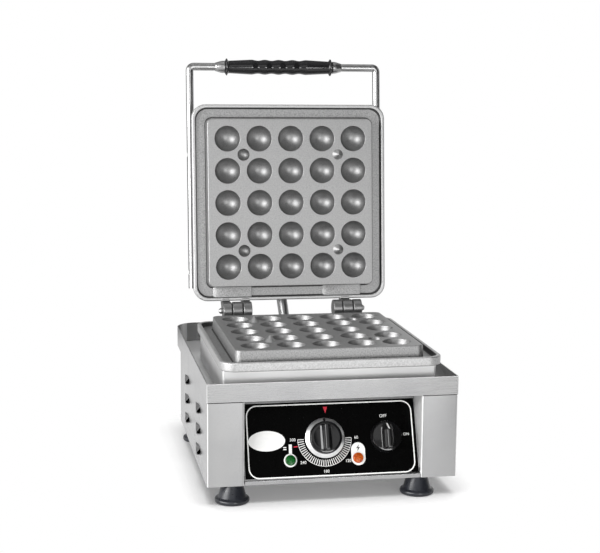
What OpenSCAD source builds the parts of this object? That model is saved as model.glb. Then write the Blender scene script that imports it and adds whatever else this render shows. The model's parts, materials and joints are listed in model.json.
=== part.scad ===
// Countertop waffle-ball baker: a stainless casing with a sloped control panel, two cast baking
// plates on a rear hinge and a bail handle. Shown with the lid open. Millimetres, front towards -Y.

/* [Casing] */
// Width of the casing
casing_w = 300; // [280:1:340]
// Depth of the lower casing
lower_depth = 311; // [300:1:330]
// Depth of the deck and its walls, which overhang at the rear
deck_depth = 384; // [376:1:400]
// Height of the casing walls above the feet
casing_h = 122.4; // [118:0.2:130]
// Height of the band above the control recess
band_h = 22; // [18:0.5:24]
// Thickness of the sheet steel
sheet = 1.2; // [1:0.1:1.5]
// Outside radius of the sheet bends
bend_r = 3; // [2.5:0.5:4]
// Radius of the deck's rear corners in plan
rear_corner_r = 30; // [20:1:34]
// Width of each front column
column_w = 44; // [40:1:48]

/* [Louvres] */
// Length of a pressed louvre
louvre_len = 48; // [30:1:60]
// Height of a louvre's mouth
louvre_h = 10; // [8:0.5:12]
// How far a louvre stands out from the side
louvre_out = 5.2; // [4:0.2:6]
// Distance between louvre rows
louvre_pitch = 25.6; // [22:0.2:27]

/* [Baking plates] */
// Width of the raised baking face
face_w = 227; // [224:1:232]
// Outside width of the drip rim
rim_w = 266; // [262:1:270]
// Thickness of a plate casting
plate_t = 21.5; // [21:0.5:24]
// Drop from the baking face to the rim's edge
rim_drop = 10.4; // [8:0.2:12]
// Thickness of the rim wall
rim_t = 5; // [4:0.5:6]
// Cups along each side of the grid
cup_count = 5; // [4:1:5]
// Distance between cup centres
cup_pitch = 43.2; // [42.5:0.1:43.5]
// Diameter of a cup
cup_d = 34; // [30:1:35]
// Gap between the two faces with the lid shut
face_gap = 1; // [0.8:0.1:2]

/* [Hinge] */
// Angle the lid opens, from shut
open_angle = 95.2; // [92:0.2:100]
// Distance from the rim to the hinge axis
hinge_reach = 12.5; // [12:0.5:14]
// Distance of each hinge from the middle
hinge_x = 76; // [70:1:80]
// Radius of a hinge knuckle
knuckle_r = 12; // [11:0.5:12]
// Diameter of a hinge pin
pin_d = 8; // [6:0.5:9]

/* [Lid and handle] */
// Width of the lid's back cover
cover_w = 249; // [244:1:250]
// Height of the back cover above the parting plane
cover_top = 62; // [60:1:66]
// Diameter of the handle rod
rod_d = 10.5; // [9.5:0.5:11]
// Distance of the handle bar from the hinge axis
bar_reach = 332; // [320:1:340]
// Length of the turned grip
grip_len = 150; // [136:1:156]
// Sideways place of the grip on the bar
grip_x = -7.5; // [-9:0.5:0]

/* [Controls] */
// Lean of the control panel from upright
panel_tilt = 22; // [20:0.5:24]
// Diameter of the thermostat knob's skirt
skirt_d = 49; // [46:1:50]
// Diameter of the switch knob
switch_d = 38.5; // [36:0.5:40]
// Diameter of a pilot lamp's lens
lamp_d = 11.6; // [10:0.2:13]

/* [Feet] */
// Height of a rubber foot
foot_h = 22; // [18:1:26]
// Diameter of a foot's flange
foot_d = 41; // [36:1:44]
// Place of the left front foot across the casing
foot_left_x = -119; // [-119:1:-112]
// Place of the right front foot across the casing
foot_right_x = 105; // [102:1:114]
// How much further out the rear feet stand than the front feet
rear_foot_out = 10; // [0:1:10]
// Place of the front feet behind the casing front
foot_front_y = 13; // [10:1:24]
// Place of the rear feet behind the casing front
foot_rear_y = 286; // [270:1:296]

/* [Hidden] */
$fn = 64;
tiny = 0.1;
clear = 0.3;

STEEL = "silver";
CAST = "dimgray";
BLACK = [0.08, 0.08, 0.08];

// Levels above the table
casing_top = foot_h + casing_h;
band_low = casing_top - band_h;
deck_drop = 3.8;
deck_top = band_low - deck_drop;
deck_low = deck_top - sheet;
deck_step_y = 21;
band_gap = 0.9;
half_w = casing_w / 2;
inner_w = casing_w - 2 * sheet - 2 * tiny;

// The parting plane is where the two baking faces meet, at the height of the hinge axis
plate_front_y = 4;
plate_y = plate_front_y + rim_w / 2;
hinge_y = plate_front_y + rim_w + hinge_reach;
hinge_rise = 34;
hinge_z = casing_top + hinge_rise;
face_z = hinge_z - face_gap / 2;
plate_low = face_z - plate_t;

// Plate casting
face_r = 8;
rim_r = 19;
moat_floor = -17;
cone_d = 14;
cone_h = 8;
socket_d = 16.4;
socket_h = 9.2;
cone_off = 1.5 * cup_pitch;
pad_w = 53;
pad_h = 3.5;
pad_slope = 7;
middle_lug_w = 13;
outer_lug_w = 11.5;
lug_gap = 1.5;
outer_lug_x = middle_lug_w / 2 + lug_gap + outer_lug_w / 2;
pin_clear = 0.05;
hinge_w = middle_lug_w + 2 * lug_gap + 2 * outer_lug_w;
pin_end = 5;

// Heating, from the casting's back outwards
stud_d = 6;
stud_grip = 8;
element_d = 8;
element_run = 85;
element_step = 60;
element_drop = element_d / 2 + 0.2;
clamp_w = 210;
clamp_t = 2;
clamp_drop = element_d + 0.4;
wool_w = 216;
terminal_d = 4;
terminal_len = 26;
bulb_d = 6;
bulb_len = 80;

wool_t = plate_low - clamp_drop - clamp_t - deck_top;

// Plinth under the lower plate
plinth_w = 258;
plinth_front_y = 24;
plinth_rear_y = 258;

// Lid, in its own shut place with the hinge axis at the origin
cover_y = -(hinge_reach + rim_w / 2);
cover_low = face_gap / 2 + plate_t;
cover_r = 14;
lid_wool_t = cover_top - sheet - tiny - cover_low - clamp_drop - clamp_t;
rod_x = 131;
rod_z = 50;
rod_end = 28;
rod_bend = 5.6;
rod_screw_at = [50, 212];
rod_screw_d = 4;
screw_head_d = 7.4;
screw_head_h = 2;
screw_sink = 1.8;
screw_seat = rod_d / 2 - screw_sink - screw_head_h;
nut_h = 4;
nut_d = 8;
dome_r = 5.5;
dome_seat = 3;

// Handle grip
grip_r = 10.4;
grip_neck_r = 8.5;
grip_flange_r = 11.6;
grip_flange_w = 4.4;
grip_clear = 0.08;
groove_count = 4;
groove_r = 8;
groove_depth = 1.4;
groove_pitch = 19;
grip_belly_len = 76;
ferrule_len = 13;
ferrule_r = 7.8;
ferrule_tip_r = 6;
ferrule_tip_len = 5;
ferrule_gap = 0.4;

// Conduit between the casing and the lid, leaning back and a little to the left
conduit_x = -1;
conduit_d = 14.2;
conduit_wall = 1;
conduit_back = 38;
conduit_lean = 6;
conduit_forward = 23;
conduit_foot_up = 1.5;
conduit_head_down = 2.6;
gland_flange_d = 26;
gland_flange_t = 3;
gland_d = 20;
gland_h = 3;
gland_bore_d = conduit_d + 3.4;
lean = open_angle - 90;
cover_end = cover_y + cover_w / 2;
lid_gland_y = hinge_y - cover_end * sin(lean) + conduit_back * cos(lean);
lid_gland_z = hinge_z - cover_end * cos(lean) - conduit_back * sin(lean);
lid_gland_x = conduit_x - (lid_gland_z - deck_top) * tan(conduit_lean);
conduit_foot = [conduit_x, lid_gland_y - conduit_forward, deck_top + conduit_foot_up];
conduit_head = [lid_gland_x, lid_gland_y, lid_gland_z - conduit_head_down];
conduit_run = conduit_head - conduit_foot;
conduit_len = norm(conduit_run);
base_gland_y = conduit_foot[1] + 0.9;

// Control panel: the sloped face starts at the lip and its places are measured up the slope
panel_y = 2.5;
panel_z = foot_h + 5;
panel_len = 96;
panel_w = casing_w - 2 * column_w - 1;
lip_y = 0.4;
fascia_t = 0.6;
fascia_w = panel_w - 2;
fascia_len = 88.5;
fascia_up = 1.5;
thermostat_at = [-7.5, 46.2];
switch_at = [66.8, 44.9];
green_at = [-50.2, 21.6];
orange_at = [31.3, 21.2];
spindle_d = 6;
knob_gap = 0.5;
skirt_flange_h = 1.6;
skirt_ring_d = 45.6;
skirt_h = 6.3;
knob_d = 39;
knob_disc_h = 11;
knob_h = 20;
knob_slope_at = 14;
switch_disc_h = 9;
switch_h = 22;
switch_slope_at = 6.5;
bar_base_w = 16;
bar_waist_w = 7.2;
bar_top_w = 4.8;
bar_end_in = 3.5;
lamp_rim_d = 13.2;
lamp_body_d = 9.6;
lamp_body_len = 26;

// Cord gland on the rear panel
cord_x = 90;
cord_z = 60;
cord_bore_r = 4.5;
cord_thread_d = 15.8;
cord_hex_d = 24;
cord_hex_h = 6;
cord_dome_h = 12;

// The middle of the whole depth, from the front feet to the deck's rear wall or the back of the grip
grip_back = hinge_y + bar_reach * sin(lean) + rod_z * cos(lean) + grip_flange_r;
back_reach = max(deck_depth, grip_back);
front_reach = foot_front_y - foot_d / 2;
depth_mid = (front_reach + back_reach) / 2;

front_left_at = [foot_left_x, foot_front_y, 0];
front_right_at = [foot_right_x, foot_front_y, 0];
rear_left_at = [foot_left_x - rear_foot_out, foot_rear_y, 0];
rear_right_at = [foot_right_x + rear_foot_out, foot_rear_y, 0];
foot_places = [front_left_at, front_right_at, rear_left_at, rear_right_at];

// Puts the middle of the depth at the origin
module placed() {
    translate([0, -depth_mid, 0]) children();
}

// Turns a piece drawn with the lid shut to the open pose
module lid_placed() {
    translate([0, hinge_y - depth_mid, hinge_z]) rotate([-open_angle, 0, 0]) children();
}

// Lays a piece on the control panel: x across, y up the slope, z out of the face
module panel_placed() {
    translate([0, panel_y - depth_mid, panel_z]) rotate([90 - panel_tilt, 0, 0]) children();
}

// A square with round corners, centred
module round_square(w, d, r) {
    square([w - 2 * r, d], center = true);
    square([w, d - 2 * r], center = true);
    for (sx = [-1, 1], sy = [-1, 1])
        translate([sx * (w / 2 - r), sy * (d / 2 - r)]) circle(r);
}

module round_block(w, d, r, h) {
    linear_extrude(h) round_square(w, d, r);
}

// A quarter turn of bent sheet in plan, with its centre at the origin
module sheet_bend(r, turn) {
    intersection() {
        difference() {
            circle(r);
            circle(r - sheet);
        }
        rotate(turn) square(r + 1);
    }
}

// A rod along X, from one place to another
module rod_x_to(x0, x1, d) {
    translate([x0, 0, 0]) rotate([0, 90, 0]) cylinder(h = x1 - x0, d = d);
}

// Side panel of the left: front column, side with louvres, and the wall that rounds the deck corner
module column_front_plan() {
    translate([-half_w, bend_r]) square([sheet, lower_depth - bend_r]);
    translate([-half_w + bend_r, bend_r]) sheet_bend(bend_r, 180);
    translate([-half_w + bend_r, 0]) square([column_w - 2 * bend_r, sheet]);
}

module column_bend_plan() {
    translate([-half_w + column_w - bend_r, bend_r]) sheet_bend(bend_r, 270);
}

module column_return_plan(return_end) {
    translate([-half_w + column_w - sheet, bend_r]) square([sheet, return_end - bend_r]);
}

module deck_wall_plan(wall_start) {
    wall_end = deck_depth - rear_corner_r;
    translate([-half_w, wall_start]) square([sheet, wall_end - wall_start]);
    translate([-half_w + rear_corner_r, wall_end]) sheet_bend(rear_corner_r, 90);
}

module louvre_places() {
    front_column = [-half_w, 70.5, foot_h + 23.8];
    rear_column = [-half_w, 201, foot_h + 29];
    for (lowest = [front_column, rear_column], row = [0:2])
        translate(lowest + [0, 0, row * louvre_pitch]) children();
}

// A louvre with its mouth at the front: pointed above and round below, tapering to the rear.
// The root says how deep it reaches into the sheet.
module louvre(out, h, len, root) {
    belly_r = out / 2;
    tail_h = 1.2;
    intersection() {
        rotate([-90, 0, 0]) linear_extrude(len) mirror([0, 1]) {
            polygon([[root, h / 2], [0, h / 2], [-out, -h / 2 + belly_r], [-out / 2, -h / 2], [root, -h / 2]]);
            translate([-out + belly_r, -h / 2 + belly_r]) circle(belly_r);
        }
        translate([0, 0, -h]) linear_extrude(2 * h)
            polygon([[root, 0], [-out, 0], [-tiny, len], [root, len]]);
        rotate([90, 0, 90]) linear_extrude(4 * out, center = true)
            polygon([[0, -h / 2], [0, h / 2], [len, tail_h / 2 - h / 4], [len, -tail_h / 2 - h / 4]]);
    }
}

module side_panel() {
    column_top = band_low - band_gap;
    return_top = deck_low - clear;
    return_low = foot_h + sheet + 10;
    return_end = 45;
    behind_band = 1.5;
    overhang_start = lower_depth - bend_r;
    difference() {
        union() {
            translate([0, 0, foot_h]) linear_extrude(column_top - foot_h) column_front_plan();
            translate([0, 0, foot_h]) linear_extrude(column_top - foot_h) column_bend_plan();
            translate([0, 0, return_low]) linear_extrude(return_top - return_low) column_return_plan(return_end);
            translate([0, 0, return_low]) linear_extrude(column_top - return_low)
                column_return_plan(deck_step_y - clear);
            translate([0, 0, column_top]) linear_extrude(casing_top - column_top) deck_wall_plan(behind_band);
            translate([0, 0, deck_low]) linear_extrude(casing_top - deck_low) deck_wall_plan(overhang_start);
            louvre_places() louvre(louvre_out, louvre_h, louvre_len, sheet / 2);
        }
        louvre_places() translate([0, -tiny, 0])
            louvre(louvre_out - 0.9, louvre_h - 2, louvre_len - 12, sheet + tiny);
    }
}

module left_side_panel() {
    color(STEEL) placed() side_panel();
}

module right_side_panel() {
    color(STEEL) placed() mirror([1, 0, 0]) side_panel();
}

// Deck floor with the front band, drilled for the plate studs and the conduit.
// Behind the band the floor starts at the band's lower edge and steps down.
module deck_tray() {
    floor_r = rear_corner_r - sheet - tiny;
    floor_rear = deck_depth - sheet - tiny;
    straight_d = floor_rear - floor_r - deck_step_y;
    color(STEEL) placed() difference() {
        union() {
            translate([0, 0, deck_low]) linear_extrude(sheet) {
                translate([-inner_w / 2, deck_step_y]) square([inner_w, straight_d]);
                translate([-inner_w / 2 + floor_r, deck_step_y])
                    square([inner_w - 2 * floor_r, straight_d + floor_r]);
                for (sx = [-1, 1])
                    translate([sx * (inner_w / 2 - floor_r), floor_rear - floor_r]) circle(floor_r);
            }
            translate([-half_w, 0, band_low]) cube([casing_w, sheet, band_h]);
            translate([-inner_w / 2, 0, band_low]) cube([inner_w, deck_step_y + sheet, sheet]);
            translate([-inner_w / 2, deck_step_y, deck_low]) cube([inner_w, sheet, band_low + sheet - deck_low]);
        }
        for (sx = [-1, 1], sy = [-1, 1])
            translate([sx * cone_off, plate_y + sy * cone_off, deck_low - 1]) cylinder(h = 4, d = stud_d + 0.6);
        translate([conduit_x, base_gland_y, deck_low - 1]) cylinder(h = 4, d = gland_bore_d);
    }
}

// Wall across the back of the deck, between the rounded corners
module upper_rear_wall() {
    wall_w = casing_w - 2 * rear_corner_r - 2 * tiny;
    color(STEEL) placed() translate([-wall_w / 2, deck_depth - sheet, deck_low])
        cube([wall_w, sheet, casing_top - deck_low]);
}

module rear_panel() {
    screw_hole_d = 4.2;
    color(STEEL) placed() difference() {
        translate([-inner_w / 2, lower_depth - sheet, foot_h])
            cube([inner_w, sheet, deck_low - tiny - foot_h]);
        translate([cord_x, lower_depth, cord_z]) rotate([90, 0, 0])
            cylinder(h = 6, d = cord_thread_d + 0.2, center = true);
        casing_screw_places() cylinder(h = 6, d = screw_hole_d, center = true);
    }
}

module casing_screw_places() {
    edge = 10;
    for (sx = [-1, 1], z = [foot_h + edge, deck_low - edge])
        translate([sx * (inner_w / 2 - edge), lower_depth, z]) rotate([-90, 0, 0]) children();
}

module casing_screws() {
    shank_len = 8;
    color("gainsboro") placed() casing_screw_places() {
        cylinder(h = 2, d1 = 7.6, d2 = 5);
        translate([0, 0, -shank_len]) cylinder(h = shank_len, d = 4);
    }
}

module base_plate() {
    plate_front = bend_r + 1;
    color(STEEL) placed() difference() {
        translate([-inner_w / 2, plate_front, foot_h])
            cube([inner_w, lower_depth - sheet - tiny - plate_front, sheet]);
        for (at = foot_places)
            translate(at + [0, 0, foot_h - 1]) cylinder(h = 4, d = 6.4);
    }
}

module plinth_frame() {
    plinth_d = plinth_rear_y - plinth_front_y;
    plinth_h = plate_low - deck_top;
    color(STEEL) placed() translate([0, plinth_front_y + plinth_d / 2, deck_top]) difference() {
        round_block(plinth_w, plinth_d, bend_r, plinth_h);
        translate([0, 0, -1])
            round_block(plinth_w - 2 * sheet, plinth_d - 2 * sheet, bend_r - sheet, plinth_h + 2);
    }
}

// One casting serves both plates: it carries two cones and one hinge lug on the left,
// two sockets and a pair of lugs on the right, and is turned over to make the upper plate.
module lug(x, w) {
    lug_root = rim_w / 2 - rim_t;
    axis_y = rim_w / 2 + hinge_reach;
    translate([x - w / 2, 0, 0]) rotate([90, 0, 90]) linear_extrude(w) {
        translate([axis_y, face_gap / 2]) circle(knuckle_r);
        polygon([
            [lug_root, -plate_t], [lug_root, -rim_drop], [rim_w / 2, -rim_drop],
            [axis_y - knuckle_r * cos(35), face_gap / 2 - knuckle_r * sin(35)],
            [axis_y, face_gap / 2], [axis_y + knuckle_r * cos(35), face_gap / 2 - knuckle_r * sin(35)],
            [rim_w / 2 + 2, -plate_t]
        ]);
    }
}

module moat_pad(x) {
    translate([x - pad_w / 2, face_w / 2 - tiny, moat_floor]) rotate([90, 0, 0]) mirror([0, 0, 1])
        linear_extrude((rim_w - face_w) / 2 - rim_t + 2 * tiny)
            polygon([[0, -1], [0, pad_h], [pad_w - pad_slope, pad_h], [pad_w, 0], [pad_w, -1]]);
}

module plate_casting() {
    difference() {
        union() {
            translate([0, 0, -plate_t]) round_block(rim_w, rim_w, rim_r, moat_floor + plate_t);
            translate([0, 0, -plate_t]) difference() {
                round_block(rim_w, rim_w, rim_r, plate_t - rim_drop);
                translate([0, 0, -1])
                    round_block(rim_w - 2 * rim_t, rim_w - 2 * rim_t, rim_r - rim_t, plate_t);
            }
            translate([0, 0, -plate_t]) round_block(face_w, face_w, face_r, plate_t);
            for (sy = [-1, 1])
                translate([-cone_off, sy * cone_off, 0]) cylinder(h = cone_h, d1 = cone_d, d2 = 1.6);
            for (sx = [-1, 1]) moat_pad(sx * hinge_x + 4);
            lug(-hinge_x, middle_lug_w);
            for (sx = [-1, 1]) lug(hinge_x + sx * outer_lug_x, outer_lug_w);
        }
        for (i = [0:cup_count - 1], j = [0:cup_count - 1])
            translate([(i - (cup_count - 1) / 2) * cup_pitch, (j - (cup_count - 1) / 2) * cup_pitch, 0])
                sphere(d = cup_d);
        for (sy = [-1, 1])
            translate([cone_off, sy * cone_off, -socket_h]) cylinder(h = socket_h + tiny, d1 = 1, d2 = socket_d);
        for (sx = [-1, 1], sy = [-1, 1])
            translate([sx * cone_off, sy * cone_off, -plate_t - 1]) cylinder(h = stud_grip + 1, d = stud_d + 0.1);
        translate([0, rim_w / 2 + hinge_reach, face_gap / 2]) rotate([0, 90, 0])
            cylinder(h = casing_w, d = pin_d + 2 * pin_clear, center = true);
    }
}

module lower_plate() {
    color(CAST) placed() translate([0, plate_y, face_z]) plate_casting();
}

module upper_plate() {
    color(CAST) lid_placed() translate([0, cover_y, face_gap / 2]) rotate([0, 180, 0]) plate_casting();
}

// Tubular element in four runs, with its two cold ends on the left
module element() {
    for (run = [0:3])
        translate([0, (run - 1.5) * element_step, 0]) rod_x_to(-element_run, element_run, element_d);
    for (turn = [-1, 0, 1])
        translate([(turn == 0 ? -1 : 1) * element_run, turn * element_step, 0])
            rotate(turn == 0 ? 90 : -90)
                rotate_extrude(angle = 180) translate([element_step / 2, 0]) circle(d = element_d);
    for (sy = [-1, 1])
        translate([0, sy * 1.5 * element_step, 0])
            rod_x_to(-element_run - terminal_len, -element_run, terminal_d);
}

module stud_places() {
    for (sx = [-1, 1], sy = [-1, 1])
        translate([sx * cone_off, sy * cone_off, 0]) children();
}

// A flat sheet or slab that the four studs pass through
module drilled_slab(w, t, hole_d) {
    difference() {
        translate([-w / 2, -w / 2, 0]) cube([w, w, t]);
        stud_places() translate([0, 0, -1]) cylinder(h = t + 2, d = hole_d);
    }
}

module lower_element() {
    color("gray") placed() translate([0, plate_y, plate_low - element_drop]) element();
}

module lower_clamp_plate() {
    color("slategray") placed() translate([0, plate_y, plate_low - clamp_drop - clamp_t])
        drilled_slab(clamp_w, clamp_t, stud_d + 0.6);
}

module lower_insulation() {
    color("beige") placed() translate([0, plate_y, plate_low - clamp_drop - clamp_t - wool_t])
        drilled_slab(wool_w, wool_t, stud_d + 1);
}

module lower_studs() {
    stud_low = deck_low - 6;
    color("gainsboro") placed() translate([0, plate_y, stud_low])
        stud_places() cylinder(h = plate_low + stud_grip - 0.5 - stud_low, d = stud_d);
}

module lower_stud_nuts() {
    color("gainsboro") placed() translate([0, plate_y, deck_low - 5])
        stud_places() difference() {
            cylinder(h = 5, d = 11.5, $fn = 6);
            translate([0, 0, -1]) cylinder(h = 7, d = stud_d + tiny);
        }
}

// Sensor of the thermostat, held against the underside of the lower plate
module thermostat_bulb() {
    color("peru") placed() translate([0, plate_y, plate_low - bulb_d / 2 - tiny])
        rod_x_to(-bulb_len / 2, bulb_len / 2, bulb_d);
}

module hinge_pin(side) {
    outer = hinge_w / 2 + pin_end;
    inner = hinge_w / 2 - 1;
    translate([side * hinge_x, hinge_y, hinge_z]) rotate([0, side * 90, 0]) {
        translate([0, 0, -inner]) cylinder(h = inner + outer - 2, d = pin_d);
        translate([0, 0, outer - 2]) cylinder(h = 2, d1 = pin_d, d2 = pin_d - 3);
    }
}

module hinge_pin_left() {
    color("gainsboro") placed() hinge_pin(-1);
}

module hinge_pin_right() {
    color("gainsboro") placed() hinge_pin(1);
}

// The conduit stands from the hole in the deck to the gland in the lid's end wall
module conduit_hose() {
    lean_back = atan2(conduit_run[1], conduit_run[2]);
    lean_side = asin(conduit_run[0] / conduit_len);
    color(STEEL) placed() translate(conduit_foot) rotate([-lean_back, 0, 0]) rotate([0, lean_side, 0])
        difference() {
            cylinder(h = conduit_len, d = conduit_d);
            translate([0, 0, -1]) cylinder(h = conduit_len + 2, d = conduit_d - 2 * conduit_wall);
        }
}

module conduit_gland() {
    difference() {
        union() {
            cylinder(h = gland_flange_t, d = gland_flange_d);
            cylinder(h = gland_flange_t + gland_h, d = gland_d);
        }
        translate([0, 0, -1]) cylinder(h = gland_flange_t + gland_h + 2, d = gland_bore_d);
    }
}

module base_conduit_gland() {
    color("dimgray") placed() translate([conduit_x, base_gland_y, deck_top]) conduit_gland();
}

module lid_conduit_gland() {
    color("dimgray") lid_placed() translate([lid_gland_x, cover_end, conduit_back])
        rotate([-90, 0, 0]) conduit_gland();
}

// Sheet with the lip below and the sloped face, drilled for the controls
module control_panel() {
    lip_h = panel_z - foot_h;
    face_top = [panel_y + panel_len * sin(panel_tilt), panel_z + panel_len * cos(panel_tilt)];
    sheet_up = sheet / cos(panel_tilt);
    corner_in = sheet * (1 - sin(panel_tilt)) / cos(panel_tilt);
    color(STEEL) difference() {
        placed() translate([-panel_w / 2, 0, 0]) rotate([90, 0, 90]) linear_extrude(panel_w)
            polygon([
                [lip_y, foot_h], [lip_y, panel_z], [panel_y, panel_z], face_top,
                [face_top[0] + sheet_up, face_top[1]], [panel_y + corner_in, panel_z - sheet],
                [lip_y + sheet, panel_z - sheet], [lip_y + sheet, foot_h]
            ]);
        panel_placed() control_holes();
    }
}

module control_holes() {
    for (at = [thermostat_at, switch_at])
        translate([at[0], at[1], 0]) cylinder(h = 8, d = 10, center = true);
    for (at = [green_at, orange_at])
        translate([at[0], at[1], 0]) cylinder(h = 8, d = lamp_body_d + 0.2, center = true);
}

module panel_fascia() {
    color(BLACK) panel_placed() difference() {
        translate([-fascia_w / 2, fascia_up, 0]) cube([fascia_w, fascia_len, fascia_t]);
        control_holes();
    }
}

// A control's body behind the panel, bored for its spindle
module control_body(at, size, depth) {
    behind = sheet + tiny;
    bush_len = 4;
    panel_placed() translate([at[0], at[1], 0]) difference() {
        union() {
            translate([-size / 2, -size / 2, -behind - depth]) cube([size, size, depth]);
            translate([0, 0, -behind]) cylinder(h = bush_len - 2, d = 9.6);
        }
        translate([0, 0, -behind - depth + 3]) cylinder(h = depth + bush_len, d = spindle_d + tiny);
    }
}

module thermostat() {
    color("lightgray") control_body(thermostat_at, 36, 24);
}

module rotary_switch() {
    color("dimgray") control_body(switch_at, 40, 30);
}

module spindle(at) {
    spindle_in = 12;
    spindle_out = 9;
    panel_placed() translate([at[0], at[1], -spindle_in]) cylinder(h = spindle_in + spindle_out, d = spindle_d);
}

module thermostat_spindle() {
    color("gainsboro") spindle(thermostat_at);
}

module switch_spindle() {
    color("gainsboro") spindle(switch_at);
}

// A round knob with a hollow-sided grip bar across it, bored from behind for its spindle.
// The bar's upper end slopes down to the disc from the given place.
module knob(d, disc_h, top_h, slope_at) {
    bore_h = 8.6;
    bar_end = d / 2 - bar_end_in;
    bar_low = disc_h - 1;
    waist_h = disc_h + 0.4 * (top_h - disc_h);
    difference() {
        union() {
            cylinder(h = disc_h, d1 = d, d2 = d - 3);
            intersection() {
                rotate([90, 0, 0]) linear_extrude(d, center = true) polygon([
                    [-bar_base_w / 2, bar_low], [-bar_waist_w / 2, waist_h], [-bar_top_w / 2, top_h],
                    [bar_top_w / 2, top_h], [bar_waist_w / 2, waist_h], [bar_base_w / 2, bar_low]
                ]);
                rotate([90, 0, 90]) linear_extrude(d, center = true) polygon([
                    [-bar_end, 0], [-bar_end, top_h], [slope_at, top_h], [bar_end, disc_h], [bar_end, 0]
                ]);
            }
        }
        translate([0, 0, -1]) cylinder(h = bore_h + 1, d = spindle_d + 0.04);
    }
}

module thermostat_knob() {
    color(BLACK) panel_placed() translate([thermostat_at[0], thermostat_at[1], fascia_t + knob_gap])
        knob(knob_d, knob_disc_h, knob_h, knob_slope_at);
}

module thermostat_skirt() {
    color("gainsboro") panel_placed() translate([thermostat_at[0], thermostat_at[1], fascia_t + knob_gap])
        difference() {
            union() {
                cylinder(h = skirt_flange_h, d = skirt_d);
                cylinder(h = skirt_h, d1 = skirt_ring_d, d2 = knob_d + 1);
            }
            translate([0, 0, -1]) cylinder(h = skirt_h + 2, d = knob_d + 0.2);
        }
}

module switch_knob() {
    color(BLACK) panel_placed() translate([switch_at[0], switch_at[1], fascia_t + knob_gap])
        knob(switch_d, switch_disc_h, switch_h, switch_slope_at);
}

module pilot_lamp(at) {
    panel_placed() translate([at[0], at[1], fascia_t]) {
        cylinder(h = 1.6, d = lamp_rim_d);
        translate([0, 0, 1]) cylinder(h = 3, d1 = lamp_d, d2 = lamp_d - 2);
        translate([0, 0, -lamp_body_len]) cylinder(h = lamp_body_len + 1, d = lamp_body_d);
    }
}

module green_lamp() {
    color("green") pilot_lamp(green_at);
}

module orange_lamp() {
    color("orange") pilot_lamp(orange_at);
}

module terminal_block() {
    block_size = [60, 24, 20];
    ways = 3;
    color("ivory") placed() translate([cord_x - block_size[0] / 2, 240, foot_h + sheet]) difference() {
        cube(block_size);
        for (way = [0:ways - 1])
            translate([(way + 0.5) * block_size[0] / ways, block_size[1] / 2, 6]) cylinder(h = 20, d = 7);
    }
}

// Compression gland for the mains cord, from the inner nut to the outer dome
module cord_gland() {
    inner_nut_h = 5;
    wall_in = lower_depth - sheet;
    color(BLACK) placed() translate([cord_x, wall_in - inner_nut_h, cord_z]) rotate([-90, 0, 0]) difference() {
        union() {
            cylinder(h = inner_nut_h, d = 20);
            cylinder(h = inner_nut_h + sheet, d = cord_thread_d);
            translate([0, 0, inner_nut_h + sheet]) cylinder(h = cord_hex_h, d = cord_hex_d, $fn = 6);
            translate([0, 0, inner_nut_h + sheet + cord_hex_h])
                cylinder(h = cord_dome_h, d1 = 20, d2 = 15);
        }
        translate([0, 0, -1]) cylinder(h = 60, r = cord_bore_r);
    }
}

// A rubber foot: a cone on a round flange, with a recess for its screw
module foot(at) {
    flange_h = 6;
    edge_r = 2.5;
    recess_h = 8;
    color(BLACK) placed() translate(at) difference() {
        rotate_extrude() union() {
            square([foot_d / 2 - edge_r, flange_h]);
            square([foot_d / 2, flange_h - edge_r]);
            translate([foot_d / 2 - edge_r, flange_h - edge_r]) circle(edge_r);
            polygon([[0, flange_h - 1], [16.6, flange_h - 1], [16.6, flange_h], [12.8, foot_h], [0, foot_h]]);
        }
        translate([0, 0, -1]) cylinder(h = recess_h + 1, d = 14);
        translate([0, 0, -1]) cylinder(h = foot_h + 2, d = 6.4);
    }
}

module front_left_foot() {
    foot(front_left_at);
}

module front_right_foot() {
    foot(front_right_at);
}

module rear_left_foot() {
    foot(rear_left_at);
}

module rear_right_foot() {
    foot(rear_right_at);
}

module foot_screws() {
    head_low = 4.5;
    head_h = 3.5;
    color("gainsboro") placed() for (at = foot_places)
        translate(at + [0, 0, head_low]) {
            cylinder(h = head_h, d = 11);
            cylinder(h = foot_h + sheet + 8 - head_low, d = 6);
        }
}

module foot_nuts() {
    color("gainsboro") placed() for (at = foot_places)
        translate(at + [0, 0, foot_h + sheet]) difference() {
            cylinder(h = 5, d = 11.5, $fn = 6);
            translate([0, 0, -1]) cylinder(h = 7, d = 6.1);
        }
}

// Lid pieces, drawn shut with the hinge axis along X at the origin
module lid_centred() {
    lid_placed() translate([0, cover_y, 0]) children();
}

module upper_element() {
    color("gray") lid_centred() translate([0, 0, cover_low + element_drop]) element();
}

module upper_clamp_plate() {
    color("slategray") lid_centred() translate([0, 0, cover_low + clamp_drop])
        drilled_slab(clamp_w, clamp_t, stud_d + 0.6);
}

module upper_insulation() {
    color("beige") lid_centred() translate([0, 0, cover_low + clamp_drop + clamp_t])
        drilled_slab(wool_w, lid_wool_t, stud_d + 1);
}

module lid_studs() {
    stud_low = cover_low - stud_grip + 0.5;
    color("gainsboro") lid_centred() translate([0, 0, stud_low])
        stud_places() cylinder(h = cover_top + dome_seat - stud_low, d = stud_d);
}

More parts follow.
